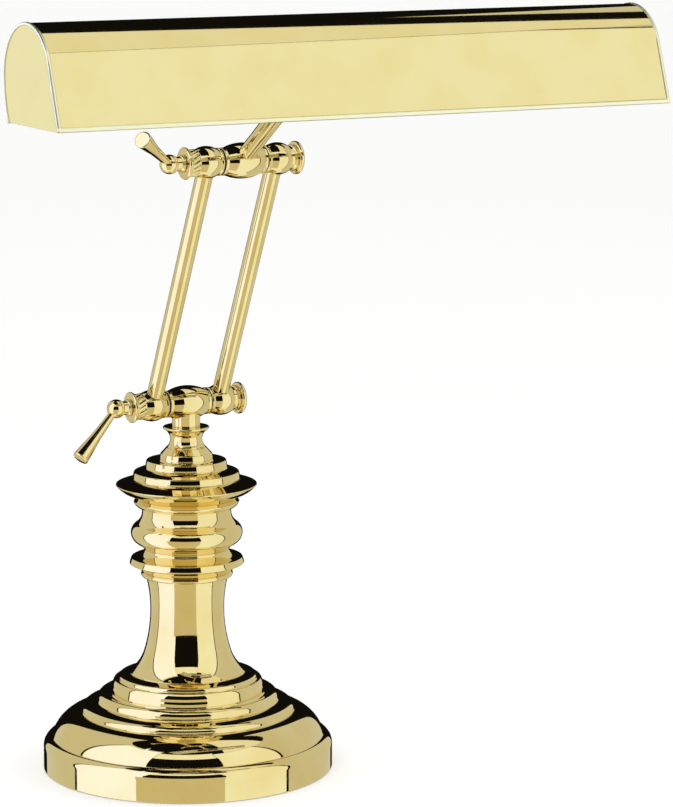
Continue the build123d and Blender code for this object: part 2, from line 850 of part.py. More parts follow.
def bulb_glass(side):
    """The tubular glass of a bulb, closed at its far end by a dome."""
    start = body_half_length + socket_back + bulb_base_length
    tip = body_half_length + socket_back + bulb_length
    shoulder = start + bulb_neck
    flank = tip - bulb_tip_length
    neck_radius = bulb_base_radius - bulb_neck_step
    inside = bulb_radius - bulb_wall
    glass = turned([
        (0, start),
        (neck_radius, start),
        (bulb_radius, shoulder, bulb_neck_bow),
        (bulb_radius, flank),
        (0, tip, cap_bow(bulb_radius, bulb_tip_length)),
    ], Axis.X)
    hollow = turned([
        (0, start - cut_over),
        (neck_radius - bulb_wall, start - cut_over),
        (neck_radius - bulb_wall, start),
        (inside, shoulder),
        (inside, flank),
        (0, tip - bulb_wall, cap_bow(inside, bulb_tip_length - bulb_wall)),
    ], Axis.X)
    return on_side(side, glass - hollow)


def switch_knob():
    """The fluted knob under the switch body, with its shaft."""
    top = -(body_radius + switch_bush_length + face_gap)
    bottom = top - knob_length
    shaft_top = top + face_gap + knob_shaft_length
    knob = turned([
        (0, top),
        (knob_radius, top),
        (knob_radius, bottom + knob_edge),
        (knob_radius - knob_edge, bottom),
        (0, bottom),
    ])
    groove = Pos(knob_radius + knob_flute_out, 0, 0) * upright(knob_flute_radius, bottom - cut_over, top + cut_over)
    for index in range(knob_flutes):
        knob -= Rot(0, 0, index * 360 / knob_flutes) * groove
    knob += upright(knob_shaft_radius, top - knob_edge, shaft_top)
    return Pos(*holder_centre) * knob


def save(name, shape):
    """Write one node, as one solid or as a group of separate solids."""
    pieces = shape if isinstance(shape, list) else [shape]
    solids = [solid for piece in pieces for solid in piece.solids()]
    whole = solids[0] if len(solids) == 1 else Compound(children=solids)
    export_step(whole, f"parts/{name}.step")


def base_and_column():
    """The weighted base and the turned pieces that its pipe draws together."""
    save("base_shell", base_shell())
    save("base_weight", base_weight())
    save("base_felt", base_felt())
    save("cord_bushing", cord_bushing())
    save("threaded_pipe", threaded_pipe())
    save("pipe_washer", pipe_washer())
    save("pipe_nut", pipe_nut())
    save("column_shaft", column_shaft())
    save("column_ring", column_ring())
    save("column_vase", column_vase())
    save("column_collar", column_collar())
    save("column_flange", column_flange())
    save("stepped_cap", stepped_cap())
    save("neck_cup", neck_cup())
    save("lower_yoke", lower_yoke())


def arm():
    """The twin-rod arm with its four barrels and the parts that stay on them."""
    for side, side_name in ((-1, "left"), (1, "right")):
        save(f"lower_{side_name}_barrel", Pos(*lower_pivot) * barrel(side, arm_direction))
        save(f"upper_{side_name}_barrel", Pos(*upper_pivot) * barrel(side, -arm_direction))
        save(f"{side_name}_rod", rod(side))
    for pivot, end, turn in ((lower_pivot, "lower", lower_lever_turn), (upper_pivot, "upper", upper_lever_turn)):
        save(f"{end}_friction_washers", friction_washers(pivot))
        save(f"{end}_clamp_collar", clamp_collar(pivot))
        save(f"{end}_cap_nut", cap_nut(pivot))
        save(f"{end}_lever", lever(pivot, turn))
        save(f"{end}_pivot_stud", pivot_stud(pivot))


def head():
    """The stem, the shade and what it holds."""
    save("upper_yoke", upper_yoke())
    save("stem", stem())
    save("stem_collar", stem_collar())
    save("shade_bracket", shade_bracket())
    save("stem_locknut", stem_locknut())
    save("shade_shell", shade_shell())
    save("switch_body", switch_body())
    save("switch_knob", switch_knob())
    for side, side_name in ((-1, "left"), (1, "right")):
        save(f"shade_{side_name}_end", shade_end(side))
        save(f"{side_name}_lamp_socket", lamp_socket(side))
        save(f"{side_name}_bulb_base", bulb_base(side))
        save(f"{side_name}_bulb_glass", bulb_glass(side))


os.makedirs("parts", exist_ok=True)
base_and_column()
arm()
head()
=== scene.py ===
"""A swing-arm desk lamp in polished brass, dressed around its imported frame.

Lengths in the classes are millimetres in the lamp's own frame: +Z up, the front towards -Y, and the
origin at the centre of the base's underside. Places come from the frame's boxes and joints.
"""

from __future__ import annotations

import json
import logging
import math
from collections.abc import Callable, Sequence
from dataclasses import dataclass, field
from enum import Enum, IntEnum

import bmesh
import bpy
from mathutils import Matrix, Vector


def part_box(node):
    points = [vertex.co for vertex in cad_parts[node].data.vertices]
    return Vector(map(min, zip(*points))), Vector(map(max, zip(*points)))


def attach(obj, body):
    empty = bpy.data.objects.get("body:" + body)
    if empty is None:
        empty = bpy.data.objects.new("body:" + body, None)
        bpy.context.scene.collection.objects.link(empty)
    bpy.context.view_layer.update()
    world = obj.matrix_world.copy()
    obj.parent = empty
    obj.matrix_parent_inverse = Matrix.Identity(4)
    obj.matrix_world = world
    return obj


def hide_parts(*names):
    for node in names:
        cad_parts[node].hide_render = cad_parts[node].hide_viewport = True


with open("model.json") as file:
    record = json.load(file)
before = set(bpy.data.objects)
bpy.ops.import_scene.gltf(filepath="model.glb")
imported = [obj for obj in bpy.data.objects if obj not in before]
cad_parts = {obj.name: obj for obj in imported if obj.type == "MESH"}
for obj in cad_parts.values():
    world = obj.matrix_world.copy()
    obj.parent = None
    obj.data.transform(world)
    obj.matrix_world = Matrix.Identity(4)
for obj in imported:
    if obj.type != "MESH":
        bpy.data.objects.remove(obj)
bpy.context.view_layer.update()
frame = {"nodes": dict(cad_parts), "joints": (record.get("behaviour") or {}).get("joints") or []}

LOG = logging.getLogger("lamp")
MM = 0.001


class Body(Enum):
    """The rigid bodies that pieces ride on."""

    BASE = "base"
    ARM = "arm"
    LOWER_LEVER = "lower_clamp_lever"
    UPPER_LEVER = "upper_clamp_lever"
    HEAD = "head"
    SWITCH = "switch"


class Side(Enum):
    """The lamp's left or right, as the sign of X."""

    LEFT = -1
    RIGHT = 1

    @property
    def word(self) -> str:
        """The side's name in lower case."""
        return self.name.lower()


class Operation(Enum):
    """Sums that a shader value can take part in."""

    ADD = "ADD"
    MULTIPLY = "MULTIPLY"


class Signal:
    """A shader socket that can be used in sums like a number."""

    def __init__(self, shader: Shader, socket: bpy.types.NodeSocket) -> None:
        """Wrap one output socket.

        Args:
            shader: The tree that the socket belongs to.
            socket: The output socket.
        """
        self.shader = shader
        self.socket = socket

    def _sum(self, operation: Operation, first: Signal | float, second: Signal | float) -> Signal:
        """Add one Math node on two values."""
        return self.shader.node("ShaderNodeMath", {"operation": operation.value}, {0: first, 1: second})

    def __add__(self, other: Signal | float) -> Signal:
        """This value plus another."""
        return self._sum(Operation.ADD, self, other)

    def __radd__(self, other: float) -> Signal:
        """A number plus this value."""
        return self._sum(Operation.ADD, other, self)

    def __mul__(self, other: Signal | float) -> Signal:
        """This value times another."""
        return self._sum(Operation.MULTIPLY, self, other)

    def __rmul__(self, other: float) -> Signal:
        """A number times this value."""
        return self._sum(Operation.MULTIPLY, other, self)


Colour = tuple[float, float, float]


class Shader:
    """A node tree with one way to make every node."""

    def __init__(self, owner: bpy.types.Material | bpy.types.World) -> None:
        """Start an empty tree.

        Args:
            owner: The new material or world that the tree belongs to.
        """
        owner.use_nodes = True
        self.owner = owner
        self.tree = owner.node_tree
        self.tree.nodes.clear()

    @classmethod
    def named(cls, name: str) -> Shader:
        """The empty tree of a new material."""
        return cls(bpy.data.materials.new(name))

    def node(
        self,
        kind: str,
        settings: dict | None = None,
        inputs: dict | None = None,
        output: str | int = 0,
    ) -> Signal:
        """Make a node, set it up and join its inputs.

        Args:
            kind: The node's type.
            settings: Properties that are set first, with a ramp's stops under the name stops.
            inputs: A value or a Signal for each input socket, by its name or place.
            output: The output socket that is returned.

        Returns:
            The chosen output.
        """
        made = self.tree.nodes.new(kind)
        for key, value in (settings or {}).items():
            if key == "stops":
                self._set_ramp(made.color_ramp, value)
            else:
                setattr(made, key, value)
        for key, value in (inputs or {}).items():
            socket = made.inputs[key]
            if isinstance(value, Signal):
                self.tree.links.new(value.socket, socket)
            elif socket.type == "RGBA":
                socket.default_value = (*value, 1.0)
            else:
                socket.default_value = value
        return Signal(self, made.outputs[output] if made.outputs else None)

    def _set_ramp(self, ramp: bpy.types.ColorRamp, stops: Sequence[tuple[float, float]]) -> None:
        """Give a ramp grey stops, each a place and a brightness."""
        while len(ramp.elements) < len(stops):
            ramp.elements.new(1.0)
        for element, (place, level) in zip(ramp.elements, stops):
            element.position = place
            element.color = (level, level, level, 1.0)

    def place(self) -> Signal:
        """The point on the piece, in metres, in the lamp's frame."""
        return self.node("ShaderNodeTexCoord", output="Object")

    def noise(
        self, point: Signal, per_metre: float, detail: float = 2.0, stretch: Colour = (1, 1, 1)
    ) -> Signal:
        """Smooth random variation over the surface.

        Args:
            point: Where it is looked up.
            per_metre: How many waves there are in a metre.
            detail: How many finer layers are added.
            stretch: How much closer the waves lie along each axis.

        Returns:
            A value about one half.
        """
        scaled = self.node("ShaderNodeVectorMath", {"operation": "MULTIPLY"}, {0: point, 1: stretch})
        inputs = {"Vector": scaled, "Scale": per_metre, "Detail": detail}
        return self.node("ShaderNodeTexNoise", inputs=inputs)

    def ramp(self, value: Signal, stops: Sequence[tuple[float, float]]) -> Signal:
        """Send a value through grey stops."""
        return self.node("ShaderNodeValToRGB", {"stops": stops}, {"Fac": value})

    def mix(self, share: Signal, first: Colour | Signal, second: Colour | Signal) -> Signal:
        """Blend two colours.

        Args:
            share: How much of the second shows.
            first: The colour at zero.
            second: The colour at one.

        Returns:
            The blended colour.
        """
        return self.node("ShaderNodeMix", {"data_type": "RGBA"}, {0: share, 6: first, 7: second}, 2)

    def bump(self, height: Signal, strength: float, distance: float) -> Signal:
        """Turn a height into a normal, with the distance in metres."""
        inputs = {"Height": height, "Strength": strength, "Distance": distance}
        return self.node("ShaderNodeBump", inputs=inputs)

    def surface(self, inputs: dict) -> bpy.types.Material:
        """Finish the material with one Principled shader.

        Args:
            inputs: A value or a Signal for each of the shader's sockets.

        Returns:
            The finished material.
        """
        return self.output(self.node("ShaderNodeBsdfPrincipled", inputs=inputs))

    def output(self, shader: Signal) -> bpy.types.Material | bpy.types.World:
        """Join a shader to the tree's output and return the material or world."""
        kind = "World" if isinstance(self.owner, bpy.types.World) else "Material"
        self.node(f"ShaderNodeOutput{kind}", inputs={"Surface": shader})
        return self.owner


@dataclass(frozen=True)
class PolishedBrass:
    """Lacquered brass with a mirror polish, faint waves and a few dull patches.

    Attributes:
        name: The material's name.
        clean: The colour where the polish is fresh.
        warm: The colour where it has toned a little.
        smooth: The roughness of the clean polish.
        dull: How much roughness the dull patches add.
        wave: The height of the slow waves in millimetres.
        lacquer: How much lacquer lies over the metal.
        lacquer_rough: The lacquer's roughness.
    """

    name: str = "polished_brass"
    clean: Colour = (0.9, 0.76, 0.4)
    warm: Colour = (0.86, 0.68, 0.31)
    smooth: float = 0.025
    dull: float = 0.05
    wave: float = 0.004
    lacquer: float = 0.15
    lacquer_rough: float = 0.04

    def material(self) -> bpy.types.Material:
        """Build the node material."""
        shader = Shader.named(self.name)
        point = shader.place()
        patches = shader.noise(point, per_metre=38.0, detail=3.0)
        toning = shader.ramp(patches, ((0.38, 0.0), (0.7, 1.0)))
        specks = shader.noise(point, per_metre=140.0, detail=4.0)
        haze = shader.ramp(specks, ((0.45, 0.0), (0.8, 1.0)))
        waves = shader.noise(point, per_metre=55.0, detail=1.0)
        return shader.surface({
            "Base Color": shader.mix(toning, self.clean, self.warm),
            "Metallic": 1.0,
            "Roughness": haze * self.dull + self.smooth,
            "Normal": shader.bump(waves, strength=1.0, distance=self.wave * MM),
            "Coat Weight": self.lacquer,
            "Coat Roughness": self.lacquer_rough,
        })


@dataclass(frozen=True)
class Enamel:
    """White stove enamel on the inside of the shade.

    Attributes:
        name: The material's name.
        colour: The fresh enamel.
        aged: The enamel where it has yellowed.
        gloss: The roughness of the fresh enamel.
    """

    name: str = "white_enamel"
    colour: Colour = (0.86, 0.86, 0.82)
    aged: Colour = (0.8, 0.78, 0.7)
    gloss: float = 0.3

    def material(self) -> bpy.types.Material:
        """Build the node material."""
        shader = Shader.named(self.name)
        point = shader.place()
        cloud = shader.noise(point, per_metre=26.0, detail=3.0)
        orange_peel = shader.noise(point, per_metre=900.0)
        return shader.surface({
            "Base Color": shader.mix(cloud, self.colour, self.aged),
            "Roughness": self.gloss + cloud * 0.12,
            "Normal": shader.bump(orange_peel, strength=0.4, distance=0.02 * MM),
        })


@dataclass(frozen=True)
class Plated:
    """Zinc-plated or rolled metal with fine scratches.

    Attributes:
        name: The material's name.
        bright: The colour of the clean metal.
        grey: The colour where it has dulled.
        rough: The roughness of the clean metal.
    """

    name: str
    bright: Colour
    grey: Colour
    rough: float

    def material(self) -> bpy.types.Material:
        """Build the node material."""
        shader = Shader.named(self.name)
        point = shader.place()
        spots = shader.ramp(shader.noise(point, per_metre=220.0, detail=4.0), ((0.4, 0.0), (0.65, 1.0)))
        scratches = shader.noise(point, per_metre=300.0, stretch=(1.0, 1.0, 14.0))
        return shader.surface({
            "Base Color": shader.mix(spots, self.bright, self.grey),
            "Metallic": 1.0,
            "Roughness": self.rough + scratches * 0.15,
            "Normal": shader.bump(scratches, strength=0.5, distance=0.01 * MM),
        })


@dataclass(frozen=True)
class Moulded:
    """Moulded plastic or pressed fibre with a fine grain.

    Attributes:
        name: The material's name.
        colour: The main colour.
        worn: The colour of the paler grain.
        rough: The roughness.
        grain: How many grains there are in a metre.
    """

    name: str
    colour: Colour
    worn: Colour
    rough: float
    grain: float = 700.0

    def material(self) -> bpy.types.Material:
        """Build the node material."""
        shader = Shader.named(self.name)
        point = shader.place()
        grain = shader.noise(point, self.grain, detail=3.0)
        paler = shader.ramp(grain, ((0.4, 0.0), (0.75, 1.0)))
        return shader.surface({
            "Base Color": shader.mix(paler, self.colour, self.worn),
            "Roughness": self.rough + grain * 0.12,
            "Normal": shader.bump(grain, strength=0.5, distance=0.03 * MM),
        })


@dataclass(frozen=True)
class CastIron:
    """A rough black-painted casting.

    Attributes:
        name: The material's name.
        paint: The black paint.
        bare: The iron where the paint has chipped.
    """

    name: str = "cast_iron"
    paint: Colour = (0.03, 0.03, 0.032)
    bare: Colour = (0.12, 0.1, 0.09)

    def material(self) -> bpy.types.Material:
        """Build the node material."""
        shader = Shader.named(self.name)
        point = shader.place()
        sand = shader.noise(point, per_metre=420.0, detail=6.0)
        chips = shader.ramp(shader.noise(point, per_metre=60.0, detail=4.0), ((0.6, 0.0), (0.66, 1.0)))
        return shader.surface({
            "Base Color": shader.mix(chips, self.paint, self.bare),
            "Roughness": 0.6 + sand * 0.3,
            "Normal": shader.bump(sand, strength=1.0, distance=0.4 * MM),
        })


@dataclass(frozen=True)
class Felt:
    """Glued felt with matted fibres.

    Attributes:
        name: The material's name.
        dark: The colour between the fibres.
        pale: The colour of the fibres.
    """

    name: str = "felt"
    dark: Colour = (0.02, 0.055, 0.03)
    pale: Colour = (0.05, 0.12, 0.07)

    def material(self) -> bpy.types.Material:
        """Build the node material."""
        shader = Shader.named(self.name)
        point = shader.place()
        fibres = shader.noise(point, per_metre=1500.0, detail=6.0, stretch=(1.0, 2.5, 1.0))
        clumps = shader.noise(point, per_metre=180.0, detail=3.0)
        return shader.surface({
            "Base Color": shader.mix(fibres * 0.7 + clumps * 0.3, self.dark, self.pale),
            "Roughness": 0.9 + fibres * 0.1,
            "Sheen Weight": 0.4,
            "Normal": shader.bump(fibres, strength=1.0, distance=0.3 * MM),
        })


@dataclass(frozen=True)
class FrostedGlass:
    """White glass, frosted inside, of a tubular bulb.

    Attributes:
        name: The material's name.
        colour: The clearer glass.
        cloudy: The glass where the frosting is thicker.
        clear: How much light passes through.
    """

    name: str = "frosted_glass"
    colour: Colour = (0.92, 0.91, 0.87)
    cloudy: Colour = (0.84, 0.82, 0.77)
    clear: float = 0.35

    def material(self) -> bpy.types.Material:
        """Build the node material."""
        shader = Shader.named(self.name)
        point = shader.place()
        frost = shader.noise(point, per_metre=500.0, detail=4.0)
        return shader.surface({
            "Base Color": shader.mix(frost, self.colour, self.cloudy),
            "Roughness": 0.22 + frost * 0.1,
            "Transmission Weight": self.clear,
            "IOR": 1.5,
            "Normal": shader.bump(frost, strength=0.2, distance=0.02 * MM),
        })


@dataclass(frozen=True)
class Stop:
    """One corner of an outline.

    Attributes:
        radius: The distance from the axis.
        height: The distance along the axis.
        bow: How far the line to this corner bows to the right of its way.
        ease: How far from the corner its rounding starts, on each side.
    """

    radius: float
    height: float
    bow: float = 0.0
    ease: float = 0.0


def cap_bow(radius: float, rise: float) -> float:
    """Bow of a round cap that meets the axis square.

    Args:
        radius: The cap's edge.
        rise: How far along the axis the cap reaches, negative for a dish.

    Returns:
        The bow of the line from the edge to the axis.
    """
    reach = (radius**2 + rise**2) / (2 * abs(rise))
    bow = reach - math.sqrt(reach**2 - (radius**2 + rise**2) / 4)
    return math.copysign(bow, rise)


class Outline:
    """A closed outline of stops, sampled finely enough for a mirror finish."""

    ARC_STEP = math.radians(4.0)
    EASE_STEP = math.radians(13.0)
    EASE_SHARE = 0.49
    LEAST_TURN = 0.02
    SUPPORT = 0.1
    TINY = 1e-4

    def __init__(self, stops: Sequence[Stop]) -> None:
        """Keep the stops, which run round the material on their left.

        Args:
            stops: The corners in order; the last one joins the first.
        """
        self.stops = list(stops)

    def points(self) -> list[Vector]:
        """The whole outline as points of radius and height."""
        runs = [self._trimmed(index) for index in range(len(self.stops))]
        made: list[Vector] = []
        for index, run in enumerate(runs):
            made += run
            if self.stops[index].ease:
                made += self._eased(run, runs[(index + 1) % len(runs)])
        distinct = [made[0]]
        for point in made[1:]:
            if (point - distinct[-1]).length > self.TINY:
                distinct.append(point)
        if (distinct[0] - distinct[-1]).length < self.TINY:
            distinct.pop()
        return distinct

    def _run(self, index: int) -> list[Vector]:
        """Points of the line or arc that leads to a stop, both ends included."""
        last, stop = self.stops[index - 1], self.stops[index]
        start, end = Vector((last.radius, last.height)), Vector((stop.radius, stop.height))
        if not stop.bow:
            return [start, end]
        chord = end - start
        along = chord.normalized()
        across = Vector((along.y, -along.x))
        reach = (chord.length**2 / 4 + stop.bow**2) / (2 * abs(stop.bow))
        sign = math.copysign(1.0, stop.bow)
        centre = (start + end) / 2 + across * (stop.bow - sign * reach)
        half = 2 * math.atan(2 * abs(stop.bow) / chord.length)
        steps = max(2, math.ceil(2 * half / self.ARC_STEP))
        angles = [half * (2 * step / steps - 1) for step in range(steps + 1)]
        return [
            centre + across * (sign * reach * math.cos(angle)) + along * (reach * math.sin(angle))
            for angle in angles
        ]

    def _trimmed(self, index: int) -> list[Vector]:
        """The run to a stop, shortened for its eased ends and with close points beside them."""
        run = self._run(index)
        lengths = [(b - a).length for a, b in zip(run, run[1:])]
        total = sum(lengths)
        low = min(self.stops[index - 1].ease, total * self.EASE_SHARE)
        high = total - min(self.stops[index].ease, total * self.EASE_SHARE)
        marks = {low, high}
        if high - low > 4 * self.SUPPORT:
            marks |= {low + self.SUPPORT, high - self.SUPPORT}
        gone = 0.0
        for length in lengths[:-1]:
            gone += length
            if low + self.SUPPORT < gone < high - self.SUPPORT:
                marks.add(gone)
        return [self._at(run, lengths, mark) for mark in sorted(marks)]

    @staticmethod
    def _at(run: list[Vector], lengths: list[float], distance: float) -> Vector:
        """The point at a distance along a run."""
        for start, end, length in zip(run, run[1:], lengths):
            if distance <= length or end is run[-1]:
                return start.lerp(end, distance / length if length else 0.0)
            distance -= length
        return run[-1]

    def _eased(self, before: list[Vector], after: list[Vector]) -> list[Vector]:
        """Points of the rounding between the end of one run and the start of the next."""
        start, end = before[-1], after[0]
        if (end - start).length < self.TINY:
            return []
        way_in = (before[-1] - before[-2]).normalized()
        way_out = (after[1] - after[0]).normalized()
        turn = way_in.angle(way_out)
        if turn < self.LEAST_TURN:
            return []
        # The rounding is one cubic curve with the handles of a circle's arc.
        reach = (end - start).length / (2 * math.cos(turn / 2))
        handle = reach * 4 / 3 * math.tan(turn / 4) / math.tan(turn / 2)
        first, second = start + way_in * handle, end - way_out * handle
        steps = max(3, math.ceil(turn / self.EASE_STEP))
        made = []
        for step in range(1, steps):
            t = step / steps
            near = start * (1 - t) ** 3 + first * (3 * t * (1 - t) ** 2)
            made.append(near + second * (3 * t * t * (1 - t)) + end * t**3)
        return made


def upright(x: float = 0.0, y: float = 0.0, z: float = 0.0) -> Matrix:
    """A place whose axis is +Z, at a point in millimetres."""
    return Matrix.Translation((x, y, z))


def along_x(origin: Vector, side: Side = Side.RIGHT) -> Matrix:
    """A place at a point whose axis is +X, or -X on the left.

    Args:
        origin: The point in millimetres.
        side: Which way the axis runs.

    Returns:
        The place as a matrix.
    """
    return aimed(origin, Vector((side.value, 0, 0)))


def aimed(origin: Vector, direction: Vector) -> Matrix:
    """A place at a point whose axis runs along a direction.

    Args:
        origin: The point in millimetres.
        direction: The way that the axis runs.

    Returns:
        The place as a matrix.
    """
    turn = direction.normalized().to_track_quat("Z", "Y").to_matrix().to_4x4()
    return Matrix.Translation(origin) @ turn


class Piece:
    """One named piece, built from closed skins in millimetres and finished in metres."""

    TINY = 1e-5

    def __init__(self, name: str) -> None:
        """Start an empty piece.

        Args:
            name: The piece's name in the scene.
        """
        self.name = name
        self.mesh = bmesh.new()

    def turn(
        self,
        stops: Sequence[Stop],
        place: Matrix | None = None,
        steps: int = 144,
        shape: Callable[[float, float, float], float] | None = None,
    ) -> Piece:
        """Turn an outline about an axis.

        Args:
            stops: The outline's corners.
            place: Where the axis stands; +Z through the origin if left out.
            steps: How many flats go round.
            shape: A radius from a radius, a height and an angle, for flutes.

        Returns:
            This piece.
        """
        place = place or Matrix.Identity(4)
        rows = []
        for point in Outline(stops).points():
            if point.x < self.TINY:
                rows.append([place @ Vector((0, 0, point.y))])
                continue
            row = []
            for step in range(steps):
                angle = 2 * math.pi * step / steps
                radius = shape(point.x, point.y, angle) if shape else point.x
                row.append(place @ Vector((radius * math.cos(angle), radius * math.sin(angle), point.y)))
            rows.append(row)
        return self.skin(rows, wrap_rows=True, wrap_columns=True)

    def skin(
        self,
        rows: list[list[Vector]],
        wrap_rows: bool = False,
        wrap_columns: bool = False,
        finish: int = 0,
    ) -> Piece:
        """Join rows of points with faces; a row of one point closes as a fan.

        Args:
            rows: The points, row by row.
            wrap_rows: Whether the last row joins the first.
            wrap_columns: Whether each row's last point joins its first.
            finish: Which of the piece's materials the faces take.

        Returns:
            This piece.
        """
        grid = [[self.mesh.verts.new(point) for point in row] for row in rows]
        count = len(grid) if wrap_rows else len(grid) - 1
        for index in range(count):
            low, high = grid[index], grid[(index + 1) % len(grid)]
            width = max(len(low), len(high))
            if width == 1:
                continue
            for column in range(width if wrap_columns else width - 1):
                following = (column + 1) % width
                corners = [
                    low[column % len(low)],
                    low[following % len(low)],
                    high[following % len(high)],
                    high[column % len(high)],
                ]
                face = self.mesh.faces.new(list(dict.fromkeys(corners)))
                face.material_index = finish
        return self

    def cap(self, rim: list[Vector], finish: int = 0) -> Piece:
        """Close a flat loop of points with one face.

        Args:
            rim: The loop's points in order.
            finish: Which of the piece's materials the face takes.

        Returns:
            This piece.
        """
        face = self.mesh.faces.new([self.mesh.verts.new(point) for point in rim])
        face.material_index = finish
        return self

    def done(
        self, body: Body, materials: Sequence[bpy.types.Material], nodes: Sequence[str] = ()
    ) -> bpy.types.Object:
        """Make the scene object, and say what it rides on and stands for.

        Args:
            body: The body that it moves with.
            materials: Its materials, the first one the main one.
            nodes: The solids that it stands for.

        Returns:
            The new object.
        """
        bmesh.ops.remove_doubles(self.mesh, verts=self.mesh.verts, dist=self.TINY)
        bmesh.ops.recalc_face_normals(self.mesh, faces=self.mesh.faces)
        bmesh.ops.scale(self.mesh, vec=(MM, MM, MM), verts=self.mesh.verts)
        for face in self.mesh.faces:
            face.smooth = True
        data = bpy.data.meshes.new(self.name)
        self.mesh.to_mesh(data)
        self.mesh.free()
        made = bpy.data.objects.new(self.name, data)
        bpy.context.scene.collection.objects.link(made)
        for material in materials:
            data.materials.append(material)
        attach(made, body.value)
        if nodes:
            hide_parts(*nodes)
        LOG.info("%s: %d faces on %s", self.name, len(data.polygons), body.value)
        return made


@dataclass(frozen=True)
class Reach:
    """What a node of the frame takes up, in millimetres."""

    low: Vector
    high: Vector

    @classmethod
    def of(cls, node: str) -> Reach:
        """The reach of one node."""
        low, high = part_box(node)
        return cls(low / MM, high / MM)

    @property
    def middle(self) -> Vector:
        """The middle of the box."""
        return (self.low + self.high) / 2

    @property
    def inner(self) -> float:
        """How far from the lamp's middle plane a node on one side starts."""
        return min(abs(self.low.x), abs(self.high.x))

    @property
    def outer(self) -> float:
        """How far from the lamp's middle plane a node on one side ends."""
        return max(abs(self.low.x), abs(self.high.x))


def joint_place(name: str) -> Vector:
    """Where a joint of the frame turns, in millimetres."""
    joint = next(joint for joint in frame["joints"] if joint["name"] == name)
    return Vector(joint["pos_m"]) / MM


class Palette:
    """The finishes that the pieces share, built once."""

    def __init__(self) -> None:
        """Build every material."""
        self.brass = PolishedBrass().material()
        self.shade_brass = PolishedBrass(
            name="shade_brass", clean=(0.86, 0.735, 0.4), warm=(0.84, 0.7, 0.34), smooth=0.05, dull=0.03
        ).material()
        # Painted highlight: a paler, satin copy of the brass for the shade's hems and end ribs, standing
        # in for the bright cream lines that light draws along those edges.
        self.highlight_rim_brass = PolishedBrass(
            name="highlight_rim_brass", clean=(0.98, 0.95, 0.72), warm=(0.95, 0.9, 0.64), smooth=0.3, wave=0.0
        ).material()
        # Painted shade: a darker, deeper copy of the shade's brass for the flat ends, set so that with the
        # white end card mirrored in it the ends take their lit tone.
        self.shaded_end_brass = PolishedBrass(
            name="shaded_end_brass", clean=(0.72, 0.59, 0.19), warm=(0.7, 0.56, 0.17), smooth=0.05, dull=0.03
        ).material()
        self.enamel = Enamel().material()
        self.steel = Plated("steel_hardware", (0.62, 0.61, 0.58), (0.42, 0.41, 0.39), 0.25).material()
        self.cap_metal = Plated("bulb_cap_metal", (0.82, 0.81, 0.78), (0.62, 0.6, 0.57), 0.3).material()
        self.fibre = Moulded("fibre_washer", (0.035, 0.022, 0.016), (0.06, 0.04, 0.03), 0.6).material()
        self.bush = Moulded("black_bush", (0.012, 0.012, 0.012), (0.03, 0.03, 0.03), 0.45).material()
        self.phenolic = Moulded(
            "holder_plastic", (0.02, 0.016, 0.013), (0.045, 0.035, 0.03), rough=0.25, grain=300.0
        ).material()
        self.knob = Moulded("knob_plastic", (0.012, 0.012, 0.012), (0.028, 0.028, 0.028), 0.3).material()
        self.iron = CastIron().material()
        self.felt = Felt().material()
        self.glass = FrostedGlass().material()

    def dress(self, node: str, *materials: bpy.types.Material) -> None:
        """Give a shown node of the frame its materials.

        Args:
            node: The node's name.
            materials: Its materials.
        """
        data = frame["nodes"][node].data
        data.materials.clear()
        for material in materials:
            data.materials.append(material)
        LOG.info("%s: node dressed in %s", node, materials[0].name)


@dataclass(frozen=True)
class RingStack:
    """Stepped turned rings, each set in and up from the one below.

    Attributes:
        steps: For each ring, how far in and up its nose starts, the nose's height, and how far in and up
            its rounded edge runs.
        foot_out: How far a ring's foot spreads under its nose.
        nose_lean: How far a nose leans in, in millimetres for each millimetre up.
        nose_bow: How far a nose swells.
        edge_bow: How far a rounded edge swells.
        ease: The rounding at a nose's top.
    """

    steps: tuple[tuple[float, float, float, float, float], ...]
    foot_out: float = 0.7
    nose_lean: float = 0.15
    nose_bow: float = 0.1
    edge_bow: float = 0.35
    ease: float = 0.45

    def stops(self, radius: float, height: float) -> list[Stop]:
        """The rings' stops, from a radius and height that the first step starts at."""
        made, half_ease = [], self.ease / 2
        for step_in, step_up, nose, edge_in, edge_up in self.steps:
            radius -= step_in
            height += step_up
            made += [
                Stop(radius + self.foot_out, height - self.foot_out, ease=half_ease),
                Stop(radius, height, ease=self.ease * 0.6),
                Stop(radius - nose * self.nose_lean, height + nose, bow=self.nose_bow, ease=self.ease),
                Stop(radius - edge_in, height + nose + edge_up, bow=self.edge_bow, ease=half_ease),
            ]
            radius -= edge_in
            height += nose + edge_up
        return made

    @staticmethod
    def feet(stops: Sequence[Stop]) -> Sequence[Stop]:
        """The foot of each ring among the rings' stops, which are four to a ring."""
        return stops[::4]


